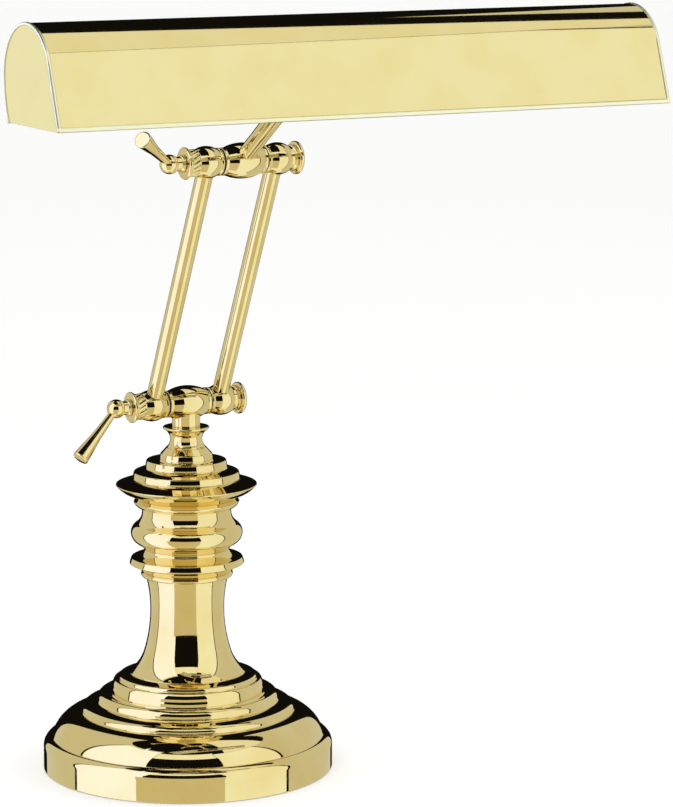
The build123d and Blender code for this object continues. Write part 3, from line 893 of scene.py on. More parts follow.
@dataclass
class Base:
    """The weighted base: spun shell, felt, bush and what they hide."""

    wall: float = 1.2
    side_height: float = 14.4
    rim_height: float = 19.2
    rim_shoulder: float = 4.4
    rim_shoulder_bow: float = 0.9
    rim_ledge: float = 0.5
    dome_width: float = 15.8
    dome_rise: float = 14.4
    dome_bow: float = 3.1
    rings: RingStack = RingStack((
        (1.2, 0.6, 1.4, 2.8, 2.2),
        (6.3, 2.2, 2.4, 2.7, 2.1),
        (5.2, -0.5, 4.0, 1.9, 3.9),
        (2.4, 0.4, 1.0, 1.3, 1.0),
    ))
    seat_radius: float = 33.0
    seat_height: float = 55.6
    seat_margin: float = 0.6
    boss_margin: float = 6.5
    bush_shank: float = 4.6
    bush_bore: float = 3.4
    bush_play: float = 0.1
    bush_edge: float = 0.2
    bush_mouth: float = 0.8
    drill_reach: float = 4.0

    def build(self, palette: Palette) -> None:
        """Build and dress the base.

        Args:
            palette: The shared finishes.
        """
        self._shell(palette)
        self._felt(palette)
        self._bush(palette)
        palette.dress("base_weight", palette.iron)
        for node in ("threaded_pipe", "pipe_washer", "pipe_nut"):
            palette.dress(node, palette.steel)

    def _shell(self, palette: Palette) -> None:
        """The spun shell with its dome and stepped rings."""
        shell = Reach.of("base_shell")
        radius, lift, top = shell.high.x, shell.low.z, shell.high.z
        bore = Reach.of("threaded_pipe").high.x
        boss = Reach.of("pipe_washer").high.x + self.boss_margin
        under_seat = self.seat_height - self.wall
        rim_edge = radius - self.rim_shoulder
        dome_foot = rim_edge - self.rim_ledge
        dome_top = dome_foot - self.dome_width
        dome_height = self.rim_height + self.dome_rise
        rings = self.rings.stops(dome_top, dome_height)
        feet = [Stop(foot.radius - self.wall, foot.height - self.wall) for foot in self.rings.feet(rings)]
        inner = [
            Stop(bore, top - self.wall),
            Stop(boss - self.wall, top - self.wall),
            Stop(boss - self.wall, under_seat),
            Stop(self.seat_radius, under_seat),
            *reversed(feet),
            Stop(dome_foot - self.wall, self.rim_height, bow=-self.dome_bow),
            Stop(radius - self.wall, self.side_height - self.wall / 2),
            Stop(radius - self.wall, lift),
        ]
        outer = [
            Stop(radius, lift, ease=0.3),
            Stop(radius, self.side_height, ease=1.2),
            Stop(rim_edge, self.rim_height, bow=self.rim_shoulder_bow, ease=0.2),
            Stop(dome_foot, self.rim_height, ease=0.15),
            Stop(dome_top, dome_height, bow=self.dome_bow, ease=0.3),
            *rings,
            Stop(self.seat_radius + self.seat_margin, self.seat_height, ease=0.1),
            Stop(boss, self.seat_height),
            Stop(boss, top, ease=0.3),
            Stop(bore, top),
        ]
        piece = Piece("base_shell_spun")
        piece.turn(outer + inner, steps=256)
        made = piece.done(Body.BASE, [palette.brass], ["base_shell"])
        self._cut_lead_hole(made, radius)

    def _cut_lead_hole(self, shell: bpy.types.Object, radius: float) -> None:
        """Cut the lead's hole through the rim, behind the bush's flange.

        Args:
            shell: The spun shell.
            radius: The rim's radius.
        """
        bush = Reach.of("cord_bushing")
        drill = Piece("lead_drill")
        hole, reach = self.bush_shank + self.bush_play, self.drill_reach
        place = aimed(Vector((0, radius - reach, bush.middle.z)), Vector((0, 1, 0)))
        drill.turn([Stop(0, 0), Stop(hole, 0), Stop(hole, 2 * reach), Stop(0, 2 * reach)], place, steps=48)
        cutter = drill.done(Body.BASE, [])
        carve(shell, cutter)

    def _felt(self, palette: Palette) -> None:
        """The felt disc with its soft edge."""
        felt = Reach.of("base_felt")
        radius, top = felt.high.x, felt.high.z
        piece = Piece("base_felt_disc")
        outline = [Stop(0, 0), Stop(radius, 0, ease=0.4), Stop(radius, top, ease=0.4), Stop(0, top)]
        piece.turn(outline, steps=192)
        piece.done(Body.BASE, [palette.felt], ["base_felt"])

    def _bush(self, palette: Palette) -> None:
        """The insulating bush with its rounded flange and bell mouth."""
        bush = Reach.of("cord_bushing")
        inside, outside = bush.low.y, bush.high.y
        rim = Reach.of("base_shell").high.y
        flange, shank, bore = bush.high.x, self.bush_shank, self.bush_bore
        place = aimed(Vector((0, 0, bush.middle.z)), Vector((0, 1, 0)))
        piece = Piece("lead_bush")
        piece.turn([
            Stop(bore, inside),
            Stop(shank, inside, ease=0.3),
            Stop(shank, rim),
            Stop(flange, rim, ease=0.2),
            Stop(flange, outside - self.bush_edge, ease=0.6),
            Stop(bore + self.bush_mouth, outside, ease=0.3),
            Stop(bore, outside - self.bush_mouth, ease=0.3),
        ], place, steps=96)
        piece.done(Body.BASE, [palette.bush], ["cord_bushing"])


def carve(target: bpy.types.Object, cutter: bpy.types.Object) -> None:
    """Cut one mesh out of another and remove the cutter.

    Args:
        target: The object that keeps its place.
        cutter: The object that is cut away.
    """
    modifier = target.modifiers.new("cut", "BOOLEAN")
    modifier.operation = "DIFFERENCE"
    modifier.solver = "EXACT"
    modifier.object = cutter
    depsgraph = bpy.context.evaluated_depsgraph_get()
    depsgraph.update()
    cut = bpy.data.meshes.new_from_object(target.evaluated_get(depsgraph))
    target.modifiers.clear()
    old = target.data
    target.data = cut
    bpy.data.meshes.remove(old)
    bpy.data.objects.remove(cutter)


@dataclass
class Column:
    """The turned column from the base's seat to the cup under the lower knuckle."""

    seat_height: float = 55.6
    hollow_margin: float = 8.0
    web: float = 4.0
    shaft_radius: float = 33.0
    shaft_lip: float = 0.3
    flare_radius: float = 24.7
    flare_rise: float = 12.4
    flare_bow: float = -1.1
    waist_radius: float = 21.0
    waist_rise: float = 36.9
    waist_bow: float = -0.9
    shaft_neck_radius: float = 23.4
    shaft_neck_bow: float = -0.6
    shaft_top_radius: float = 25.2
    shaft_bead: float = 2.9
    shaft_bead_bow: float = 0.9
    ring_length: float = 13.1
    ring_radius: float = 32.5
    ring_rise: float = 4.6
    ring_bow: float = -0.7
    ring_edge: float = 0.8
    ring_crown_rise: float = 2.9
    ring_crown_in: float = 1.0
    cove_rise: float = 4.0
    cove_bow: float = -1.3
    ring_top_radius: float = 24.15
    vase_length: float = 23.7
    vase_radius: float = 31.75
    vase_foot: tuple[float, float] = (28.0, 3.2)
    vase_foot_bow: float = -0.27
    vase_widest_rise: float = 9.4
    vase_lower_bow: float = 1.0
    vase_shoulder: tuple[float, float] = (28.7, 14.6)
    vase_shoulder_bow: float = 0.75
    vase_neck: tuple[float, float] = (25.4, 19.7)
    vase_upper_bow: float = -0.5
    vase_top_radius: float = 25.2
    collar_length: float = 5.2
    collar_radius: float = 30.0
    collar_rise: float = 3.6
    collar_bow: float = 1.0
    flange_length: float = 11.4
    flange_radius: float = 39.9
    flange_root_radius: float = 27.6
    flange_swell: tuple[float, float] = (35.2, 3.8)
    flange_swell_bow: float = -0.2
    flange_rise: float = 7.8
    flange_edge: float = 0.5
    flange_lower_bow: float = 0.25
    flange_upper_bow: float = -0.1
    cap_rings: RingStack = RingStack(
        ((0.0, 0.3, 2.9, 0.9, 0.9), (6.3, 2.8, 2.9, 0.9, 0.9), (7.1, 0.2, 2.9, 0.9, 0.9)),
        nose_bow=0.12, edge_bow=0.15, ease=0.4,
    )
    cap_radius: float = 31.0
    cap_top_radius: float = 11.4
    cup_neck_radius: float = 9.1
    cup_neck_rise: float = 5.1
    cup_neck_bow: float = -0.73
    cup_flare_bow: float = -0.88
    cup_lip: float = 1.4
    cup_lip_edge: float = 0.4

    def build(self, palette: Palette) -> None:
        """Build every turned piece of the column.

        Args:
            palette: The shared finishes.
        """
        cap, cup = Reach.of("stepped_cap"), Reach.of("neck_cup")
        flange = cap.low.z - self.flange_length
        collar = flange - self.collar_length
        vase = collar - self.vase_length
        ring = vase - self.ring_length
        pieces = [
            ("column_shaft", self._shaft, self.shaft_radius, self.seat_height, ring),
            ("column_ring", self._ring, self.ring_radius, ring, vase),
            ("column_vase", self._vase, self.vase_radius, vase, collar),
            ("column_collar", self._collar, self.collar_radius, collar, flange),
            ("column_flange", self._flange, self.flange_radius, flange, cap.low.z),
            ("stepped_cap", self._cap, self.cap_radius, cap.low.z, cap.high.z),
            ("neck_cup", self._cup, cup.high.x, cup.low.z, cup.high.z),
        ]
        bore = Reach.of("threaded_pipe").high.x
        hollow = Reach.of("pipe_washer").high.x + self.hollow_margin
        for node, maker, radius, bottom, top in pieces:
            inner, outer = Stop(bore, bottom), [*maker(radius, bottom, top), Stop(bore, top)]
            if node == "column_shaft":
                inner, web = Stop(hollow, bottom), top - self.web
                outer += [Stop(bore, web), Stop(hollow, web)]
            piece = Piece(f"{node}_turned")
            piece.turn([inner, *outer], steps=192)
            piece.done(Body.BASE, [palette.brass], [node])

    def _shaft(self, radius: float, bottom: float, top: float) -> list[Stop]:
        """The trumpet, flared at its foot, waisted above it and beaded at its top."""
        neck = top - self.shaft_bead
        return [
            Stop(radius, bottom, ease=0.1),
            Stop(radius, bottom + self.shaft_lip, ease=0.1),
            Stop(self.flare_radius, bottom + self.flare_rise, bow=self.flare_bow, ease=2.0),
            Stop(self.waist_radius, bottom + self.waist_rise, bow=self.waist_bow, ease=3.0),
            Stop(self.shaft_neck_radius, neck, bow=self.shaft_neck_bow, ease=0.2),
            Stop(self.shaft_top_radius, neck, ease=0.25),
            Stop(self.shaft_top_radius, top, bow=self.shaft_bead_bow, ease=0.15),
        ]

    def _ring(self, radius: float, bottom: float, top: float) -> list[Stop]:
        """The thin-edged ring with the cove above it."""
        edge = bottom + self.ring_rise
        crown = edge + self.ring_edge + self.ring_crown_rise
        return [
            Stop(self.shaft_top_radius, bottom, ease=0.15),
            Stop(radius, edge, bow=self.ring_bow, ease=0.3),
            Stop(radius, edge + self.ring_edge, ease=0.35),
            Stop(radius - self.ring_crown_in, crown, ease=0.45),
            Stop(self.ring_top_radius, crown + self.cove_rise, bow=self.cove_bow, ease=0.4),
            Stop(self.ring_top_radius, top, ease=0.15),
        ]

    def _vase(self, radius: float, bottom: float, top: float) -> list[Stop]:
        """The swelling vase under the collar."""
        foot, foot_rise = self.vase_foot
        shoulder, shoulder_rise = self.vase_shoulder
        neck, neck_rise = self.vase_neck
        return [
            Stop(self.ring_top_radius, bottom, ease=0.15),
            Stop(foot, bottom + foot_rise, bow=self.vase_foot_bow, ease=0.5),
            Stop(radius, bottom + self.vase_widest_rise, bow=self.vase_lower_bow, ease=0.5),
            Stop(shoulder, bottom + shoulder_rise, bow=self.vase_shoulder_bow, ease=0.6),
            Stop(neck, bottom + neck_rise, bow=self.vase_upper_bow, ease=1.2),
            Stop(self.vase_top_radius, top, ease=0.2),
        ]

    def _collar(self, radius: float, bottom: float, top: float) -> list[Stop]:
        """The spreading collar under the flange."""
        return [
            Stop(self.vase_top_radius, bottom, ease=0.15),
            Stop(radius, bottom + self.collar_rise, bow=self.collar_bow, ease=0.4),
            Stop(self.flange_root_radius, top, ease=0.2),
        ]

    def _flange(self, radius: float, bottom: float, top: float) -> list[Stop]:
        """The wide flange with its thin rounded edge."""
        swell, swell_rise = self.flange_swell
        edge = bottom + self.flange_rise
        return [
            Stop(self.flange_root_radius, bottom, ease=0.15),
            Stop(swell, bottom + swell_rise, bow=self.flange_swell_bow, ease=1.0),
            Stop(radius, edge, bow=self.flange_lower_bow, ease=0.25),
            Stop(radius, edge + self.flange_edge, ease=0.24),
            Stop(self.cap_radius, top, bow=self.flange_upper_bow, ease=0.15),
        ]

    def _cap(self, radius: float, bottom: float, top: float) -> list[Stop]:
        """The three stepped rings under the neck."""
        nose = radius - self.cap_rings.foot_out
        return [
            Stop(radius, bottom, ease=0.1),
            *self.cap_rings.stops(nose, bottom)[1:],
            Stop(self.cap_top_radius, top, ease=0.15),
        ]

    def _cup(self, radius: float, bottom: float, top: float) -> list[Stop]:
        """The waisted neck with its flared lip."""
        lip_foot = top - self.cup_lip
        return [
            Stop(self.cap_top_radius, bottom, ease=0.15),
            Stop(self.cup_neck_radius, bottom + self.cup_neck_rise, bow=self.cup_neck_bow, ease=1.0),
            Stop(radius - self.cup_lip_edge, lip_foot, bow=self.cup_flare_bow, ease=0.2),
            Stop(radius, lip_foot + self.cup_lip / 2, ease=0.35),
            Stop(radius - self.cup_lip_edge, top, ease=0.2),
        ]


@dataclass
class Knuckle:
    """One clamped knuckle of the arm: cross piece, barrels, collar, lever and round nut."""

    end: str
    pivot: Vector
    lever_body: Body
    lever_angle: float
    yoke_body: Body
    yoke_half: float = 12.8
    yoke_radius: float = 9.8
    yoke_end_radius: float = 7.6
    yoke_bead: float = 1.6
    yoke_groove: float = 0.25
    neck_radius: float = 8.0
    barrel_end_radius: float = 7.0
    barrel_bow: float = 1.9
    barrel_bead: float = 1.8
    barrel_bead_rise: float = 0.8
    spigot_radius: float = 5.0
    pocket_play: float = 0.2
    flutes: int = 16
    flute_depth: float = 0.7
    flute_slant: float = 30.0
    band_length: float = 5.0
    band_radius: float = 7.5
    flute_fade: float = 0.8
    flute_floor: float = 0.9
    flute_rows: int = 12
    flute_flats: int = 12
    disc_slope: tuple[float, float] = (1.0, 0.9)
    disc_round: float = 0.7
    nut_neck: float = 1.8
    nut_neck_radius: float = 6.4
    nut_ring: float = 1.8
    nut_ring_radius: float = 7.8
    nut_dish: float = 0.8
    nut_lip: float = 1.6
    nut_slope: tuple[float, float] = (0.6, 0.3)
    nut_shoulder: float = 1.0
    nut_round: float = 0.9
    stud_radius: float = 3.0
    bore_play: float = 0.2
    ball_radius: float = 5.3
    ball_reach: float = 8.2
    lever_neck_radius: float = 3.9
    lever_ring: float = 0.9
    lever_ring_length: float = 1.4
    lever_ring_slope: float = 0.4
    lever_reach: float = 37.0
    lever_root_radius: float = 2.1
    lever_end_radius: float = 4.65
    lever_bow: float = -0.5
    lever_end_rise: float = 0.35
    lever_end_edge: float = 0.8
    lever_end_in: float = 0.5
    lever_splay: float = 45.0
    flats: int = 128
    lever_flats: int = 96

    def build(self, palette: Palette) -> None:
        """Build and dress the knuckle.

        Args:
            palette: The shared finishes.
        """
        self._yoke(palette)
        for side in Side:
            self._barrel(side, palette)
        self._collar(palette)
        self._nut(palette)
        self._lever(palette)
        palette.dress(f"{self.end}_friction_washers", palette.fibre)
        palette.dress(f"{self.end}_pivot_stud", palette.steel)

    def _node(self, word: str) -> str:
        """The name of one of this knuckle's nodes."""
        return f"{self.end}_{word}"

    def _yoke(self, palette: Palette) -> None:
        """The swelling cross piece, with a neck on the lower one."""
        bead = self.yoke_half - self.yoke_bead
        body_end = self.yoke_end_radius - self.yoke_groove
        swell = self.yoke_radius - body_end
        bore = self.stud_radius + self.bore_play
        piece = Piece(f"{self.end}_yoke_turned")
        pocket = self.spigot_radius + self.pocket_play
        floor = Reach.of(self._node("right_barrel")).low.x - self.pocket_play
        piece.turn([
            Stop(bore, -floor),
            Stop(pocket, -floor),
            Stop(pocket, -self.yoke_half),
            Stop(self.yoke_end_radius, -self.yoke_half, ease=0.35),
            Stop(self.yoke_end_radius, -bead, ease=0.3),
            Stop(body_end, -bead + self.yoke_groove, ease=0.1),
            Stop(body_end, bead - self.yoke_groove, bow=swell, ease=0.1),
            Stop(self.yoke_end_radius, bead, ease=0.3),
            Stop(self.yoke_end_radius, self.yoke_half, ease=0.35),
            Stop(pocket, self.yoke_half),
            Stop(pocket, floor),
            Stop(bore, floor),
        ], along_x(self.pivot), self.flats)
        if self.yoke_body is Body.BASE:
            self._neck(piece)
        piece.done(self.yoke_body, [palette.brass], [self._node("yoke")])

    def _neck(self, piece: Piece) -> None:
        """The neck under the lower cross piece, down to the column's cup."""
        foot = Reach.of(self._node("yoke")).low.z
        top = self.pivot.z - foot - self.stud_radius
        piece.turn([
            Stop(0, 0),
            Stop(self.neck_radius, 0, ease=0.2),
            Stop(self.neck_radius, top),
            Stop(0, top),
        ], upright(self.pivot.x, self.pivot.y, foot), self.flats)

    def _barrel(self, side: Side, palette: Palette) -> None:
        """One bulged barrel with its bead against the cross piece."""
        node = self._node(f"{side.word}_barrel")
        start = Reach.of(self._node("friction_washers")).high.x
        reach = Reach.of(node)
        tip, end = reach.inner, reach.outer
        bead_end = start + self.barrel_bead
        bore = self.stud_radius + self.bore_play
        piece = Piece(f"{self.end}_{side.word}_barrel_turned")
        piece.turn([
            Stop(bore, tip),
            Stop(self.spigot_radius, tip, ease=0.2),
            Stop(self.spigot_radius, start),
            Stop(self.barrel_end_radius, start, ease=0.25),
            Stop(self.barrel_end_radius + self.barrel_bead_rise, start + self.barrel_bead / 2, ease=0.7),
            Stop(self.barrel_end_radius, bead_end, ease=0.25),
            Stop(self.barrel_end_radius, end, bow=self.barrel_bow, ease=0.3),
            Stop(bore, end),
        ], along_x(self.pivot, side), self.flats)
        piece.done(Body.ARM, [palette.brass], [node])

    def _collar(self, palette: Palette) -> None:
        """The clamp collar: slanting flutes round a band, then a plain disc."""
        reach = Reach.of(self._node("clamp_collar"))
        start, end = -reach.high.x, -reach.low.x
        disc_radius = reach.high.z - self.pivot.z
        band_end = start + self.band_length
        bore = self.stud_radius + self.bore_play
        slant = math.tan(math.radians(self.flute_slant)) / self.band_radius

        def fluted(radius: float, height: float, angle: float) -> float:
            """The radius of the band after its slanting flutes are cut."""
            inside = min(height - start, band_end - height)
            if inside <= 0 or radius < self.band_radius - self.flute_floor:
                return radius
            wave = abs(math.sin(self.flutes / 2 * (angle + slant * (height - start))))
            return radius - self.flute_depth * (1 - wave**0.7) * min(1.0, inside / self.flute_fade)

        heights = [start + self.band_length * step / self.flute_rows for step in range(1, self.flute_rows)]
        slope_in, slope_up = self.disc_slope
        piece = Piece(f"{self.end}_clamp_collar_cut")
        piece.turn([
            Stop(bore, start),
            Stop(self.band_radius, start, ease=0.4),
            *[Stop(self.band_radius, height) for height in heights],
            Stop(self.band_radius, band_end),
            Stop(disc_radius - slope_in, band_end, ease=0.15),
            Stop(disc_radius, band_end + slope_up, ease=0.6),
            Stop(disc_radius, end - self.disc_round, ease=0.5),
            Stop(disc_radius - self.disc_round, end, ease=0.5),
            Stop(bore, end),
        ], along_x(self.pivot, Side.LEFT), self.flutes * self.flute_flats, shape=fluted)
        piece.done(Body.ARM, [palette.brass], [self._node("clamp_collar")])

    def _nut(self, palette: Palette) -> None:
        """The round nut: neck, half-round ring and a dished disc."""
        reach = Reach.of(self._node("cap_nut"))
        start, end = reach.low.x, reach.high.x
        radius = reach.high.z - self.pivot.z
        ring = start + self.nut_neck
        disc = ring + self.nut_ring
        slope_in, slope_up = self.nut_slope
        piece = Piece(f"{self.end}_cap_nut_turned")
        piece.turn([
            Stop(0, start),
            Stop(self.nut_neck_radius, start),
            Stop(self.nut_neck_radius, ring, ease=0.2),
            Stop(self.nut_ring_radius, ring + self.nut_ring / 2, ease=0.85),
            Stop(self.nut_neck_radius, disc, ease=0.25),
            Stop(radius - slope_in, disc + slope_up, ease=0.3),
            Stop(radius, disc + self.nut_shoulder, ease=0.6),
            Stop(radius, end - self.nut_round, ease=0.6),
            Stop(radius - self.nut_round, end, ease=0.5),
            Stop(radius - self.nut_lip, end, ease=0.2),
            Stop(0, end - self.nut_dish, bow=cap_bow(radius - self.nut_lip, -self.nut_dish)),
        ], along_x(self.pivot), self.flats)
        piece.done(Body.ARM, [palette.brass], [self._node("cap_nut")])

    def _lever(self, palette: Palette) -> None:
        """The clamp lever: ball, neck and a handle that widens to a nearly flat end."""
        foot = -Reach.of(self._node("lever")).high.x
        collar = -Reach.of(self._node("clamp_collar")).low.x
        ball = collar + self.ball_reach
        ball_centre = self.pivot + Vector((-ball, 0, 0))
        splay, turn = math.radians(self.lever_splay), math.radians(self.lever_angle)
        level, end_radius = math.cos(splay), self.lever_end_radius
        outward = Vector((-math.sin(splay), math.cos(turn) * level, math.sin(turn) * level))
        foot_radius = self.lever_neck_radius + self.lever_ring
        ring_end = foot + self.lever_ring_length
        ball_bow = cap_bow(self.ball_radius, self.ball_radius)
        rise = self.lever_end_rise
        piece = Piece(f"{self.end}_lever_turned")
        piece.turn([
            Stop(0, -self.ball_radius),
            Stop(self.ball_radius, 0, bow=ball_bow),
            Stop(0, self.ball_radius, bow=ball_bow),
        ], aimed(ball_centre, outward), self.lever_flats)
        piece.turn([
            Stop(self.stud_radius, foot),
            Stop(foot_radius, foot, ease=0.35),
            Stop(foot_radius, ring_end, ease=0.6),
            Stop(self.lever_neck_radius, ring_end + self.lever_ring_slope, ease=0.3),
            Stop(self.lever_neck_radius, ball, ease=0.2),
            Stop(self.stud_radius, ball),
        ], along_x(self.pivot, Side.LEFT), self.lever_flats)
        piece.turn([
            Stop(0, 0),
            Stop(self.lever_root_radius, 0),
            Stop(self.lever_root_radius, self.ball_radius),
            Stop(end_radius, self.lever_reach - self.lever_end_edge, bow=self.lever_bow, ease=0.5),
            Stop(end_radius - self.lever_end_in, self.lever_reach - rise, ease=0.35),
            Stop(0, self.lever_reach, bow=cap_bow(end_radius, rise)),
        ], aimed(ball_centre, outward), self.lever_flats)
        piece.done(self.lever_body, [palette.brass], [self._node("lever")])


@dataclass
class Arm:
    """The two rods between the knuckles and the stem above them."""

    tube_radius: float = 4.75
    tube_wall: float = 1.0
    seat: float = 4.3
    stem_wall: float = 1.85
    thread_radius: float = 3.9
    thread_length: float = 5.0
    thread_pitch: float = 0.94
    thread_depth: float = 0.5
    stem_elevation: float = 34.6
    flats: int = 128

    def build(self, palette: Palette, lower: Vector, upper: Vector) -> None:
        """Build the rods and the stem.

        Args:
            palette: The shared finishes.
            lower: The lower pivot.
            upper: The upper pivot.
        """
        direction = (upper - lower).normalized()
        length = (upper - lower).length - 2 * self.seat
        bore = self.tube_radius - self.tube_wall
        for side in Side:
            middle = Reach.of(f"{side.word}_rod").middle
            start = Vector((middle.x, lower.y, lower.z)) + direction * self.seat
            piece = Piece(f"{side.word}_rod_tube")
            piece.turn([
                Stop(bore, 0),
                Stop(self.tube_radius, 0, ease=0.2),
                Stop(self.tube_radius, length, ease=0.2),
                Stop(bore, length),
            ], aimed(start, direction), self.flats)
            piece.done(Body.ARM, [palette.brass], [f"{side.word}_rod"])
        self._stem(palette, upper)

    def _stem(self, palette: Palette, upper: Vector) -> None:
        """The stem with its threaded end."""
        tilt = math.radians(self.stem_elevation)
        direction = Vector((0, -math.cos(tilt), math.sin(tilt)))
        across = Vector((0, math.sin(tilt), math.cos(tilt)))
        corner = Reach.of("stem").high
        reach = (corner.z - upper.z - self.thread_radius * across.z) / direction.z
        shoulder = reach - self.thread_length
        bore = self.tube_radius - self.stem_wall
        root = self.thread_radius - self.thread_depth
        threads = []
        for turn in range(math.floor(self.thread_length / self.thread_pitch)):
            crest = shoulder + self.thread_pitch * (turn + 0.5)
            threads.append(Stop(self.thread_radius, crest, ease=0.08))
            threads.append(Stop(root, crest + self.thread_pitch / 2))
        piece = Piece("stem_tube")
        piece.turn([
            Stop(bore, self.seat),
            Stop(self.tube_radius, self.seat, ease=0.2),
            Stop(self.tube_radius, shoulder, ease=0.3),
            Stop(root, shoulder),
            *threads,
            Stop(root, reach),
            Stop(bore, reach),
        ], aimed(upper, direction), self.flats)
        piece.done(Body.HEAD, [palette.brass], ["stem"])


class Finish(IntEnum):
    """The place of each of the shade's materials; the third, a paler satin brass, is a painted highlight
    along the hems and end ribs.
    """

    OUTSIDE = 0
    INSIDE = 1
    # A painted highlight: the paler brass on the hems and end ribs.
    RIM = 2


@dataclass
class Shade:
    """The trough shade: a rolled sheet with turned hems and end ribs, and flat ends inside them."""

    sheet: float = 1.0
    crown_radius: float = 27.0
    back_radius: float = 60.0
    mouth_drop: float = 23.4
    mouth_front: float = 36.3
    hem: float = 2.2
    proud: float = 0.5
    rib: float = 2.0
    # The share of the hem's width, as a height above the mouth, that takes the painted highlight.
    highlight_share: float = 0.95
    end_gap: float = 0.02
    end_ease: float = 0.15
    front_steps: int = 8
    crown_steps: int = 64
    back_steps: int = 24
    hem_marks: tuple[float, ...] = (0.0, 0.15, 0.4, 0.7, 1.0, 1.3, 1.6, 1.9, 2.1, 2.3, 2.6, 4.0)
    rib_marks: tuple[float, ...] = (0.0, 0.1, 0.3, 0.6, 1.0, 1.4, 1.7, 1.9, 2.0, 2.15, 2.6, 6.0)
    mouth: float = field(init=False)
    crown_y: float = field(init=False)
    crown_z: float = field(init=False)
    half: float = field(init=False)

    def __post_init__(self) -> None:
        """Take the mouth's height, the crown's centre and half the length from the frame."""
        shell = Reach.of("shade_shell")
        self.mouth, self.half = shell.low.z, shell.high.x
        self.crown_y = shell.high.y - self.proud - self.crown_radius
        self.crown_z = self.mouth + self.mouth_drop

    def build(self, palette: Palette) -> None:
        """Build the shade and its ends.

        Args:
            palette: The shared finishes.
        """
        self._shell(palette)
        for side in Side:
            self._end(side, palette)

    def section(self) -> list[tuple[Vector, Vector, float]]:
        """The shade's outer line from the front's foot over the crown to the back's foot.

        Returns:
            For each place a point, its outward normal and its distance along the sheet to the nearer foot.
        """
        to_foot = math.hypot(self.mouth_front, self.mouth_drop)
        slope = math.atan2(self.mouth_drop, self.mouth_front) + math.asin(self.crown_radius / to_foot)
        normal = Vector((-math.sin(slope), math.cos(slope)))
        centre = Vector((self.crown_y, self.crown_z))
        touch = centre + normal * self.crown_radius
        rise = touch.y - self.mouth
        foot = Vector((touch.x - rise / math.tan(slope), self.mouth))
        length = (touch - foot).length
        start, steps = self.hem_marks[-1], self.front_steps
        marks = list(self.hem_marks)
        marks += [start + (length - start) * step / steps for step in range(1, steps + 1)]
        made = [(foot + (touch - foot) * (mark / length), normal, mark) for mark in marks]
        for step in range(1, self.crown_steps + 1):
            angle = (math.pi / 2 + slope) * (1 - step / self.crown_steps)
            way = Vector((math.cos(angle), math.sin(angle)))
            made.append((centre + way * self.crown_radius, way, length))
        back_centre = Vector((self.crown_y + self.crown_radius - self.back_radius, self.crown_z))
        sweep = math.asin(self.mouth_drop / self.back_radius)
        arc = sweep * self.back_radius
        steps = self.back_steps
        falls = [start + (arc - start) * (1 - step / steps) for step in range(1, steps + 1)]
        falls += list(reversed(self.hem_marks))[1:]
        for left in falls:
            angle = (left - arc) / self.back_radius
            way = Vector((math.cos(angle), math.sin(angle)))
            made.append((back_centre + way * self.back_radius, way, left))
        return made

    @staticmethod
    def _half_round(distance: float, width: float, height: float) -> float:
        """The height of a half-round bead at a distance from its edge."""
        if distance <= 0 or distance >= width:
            return 0.0
        across = 2 * distance / width - 1
        return height * math.sqrt(max(0.0, 1 - across * across))

    def _shell(self, palette: Palette) -> None:
        """The rolled sheet, brass outside and enamelled inside, with a painted highlight of paler brass on
        its hems and end ribs.
        """
        section = self.section()
        left = [-self.half + mark for mark in self.rib_marks]
        across = [*left, 0.0, *[-x for x in reversed(left)]]
        outer_rows, inner_rows = [], []
        for point, normal, foot in section:
            hem = self._half_round(foot, self.hem, self.proud)
            outer, inner = [], []
            for x in across:
                edge = self.half - abs(x)
                lift = max(hem, self._half_round(edge, self.rib, self.proud))
                there = point + normal * lift
                back = point - normal * self.sheet
                outer.append(Vector((x, there.x, there.y)))
                inner.append(Vector((x, back.x, back.y)))
            outer_rows.append(outer)
            inner_rows.append(inner)
        piece = Piece("shade_rolled_sheet")
        piece.skin(outer_rows, finish=Finish.OUTSIDE)
        piece.skin(inner_rows, finish=Finish.INSIDE)
        for edge in (0, -1):
            piece.skin([[row[edge] for row in outer_rows], [row[edge] for row in inner_rows]])
        for edge in (0, -1):
            piece.skin([outer_rows[edge], inner_rows[edge]])
        materials = [palette.shade_brass, palette.enamel, palette.highlight_rim_brass]
        made = piece.done(Body.HEAD, materials, ["shade_shell"])
        # Faces of the hems and end ribs take the paler brass: a painted highlight along the shade's edges.
        for polygon in made.data.polygons:
            place = polygon.center / MM
            at_hem = place.z - self.mouth < self.hem * self.highlight_share
            gets_highlight = self.half - abs(place.x) < self.rib or at_hem
            if polygon.material_index == Finish.OUTSIDE and gets_highlight:
                polygon.material_index = Finish.RIM

    def _end(self, side: Side, palette: Palette) -> None:
        """One flat end, enamelled inside and outside in a darker copy of the brass, which is painted shade
        that offsets the white end card it mirrors.
        """
        plate = Reach.of(f"shade_{side.word}_end")
        outside = plate.high.x if side is Side.RIGHT else plate.low.x
        inside = plate.low.x if side is Side.RIGHT else plate.high.x
        rim = [point - normal * (self.sheet + self.end_gap) for point, normal, _ in self.section()]
        ease = self.end_ease
        centre = Vector((self.crown_y, self.crown_z))
        small = [point + (centre - point).normalized() * ease for point in rim]
        rows = [
            [Vector((inside, p.x, p.y)) for p in rim],
            [Vector((outside - side.value * ease, p.x, p.y)) for p in rim],
            [Vector((outside, p.x, p.y)) for p in small],
        ]
        piece = Piece(f"shade_{side.word}_end_plate")
        piece.skin(rows, wrap_columns=True)
        piece.cap(rows[0], Finish.INSIDE)
        piece.cap(rows[2], Finish.OUTSIDE)
        materials = [palette.shaded_end_brass, palette.enamel]
        made = piece.done(Body.HEAD, materials, [f"shade_{side.word}_end"])
        for polygon in made.data.polygons:
            polygon.use_smooth = False


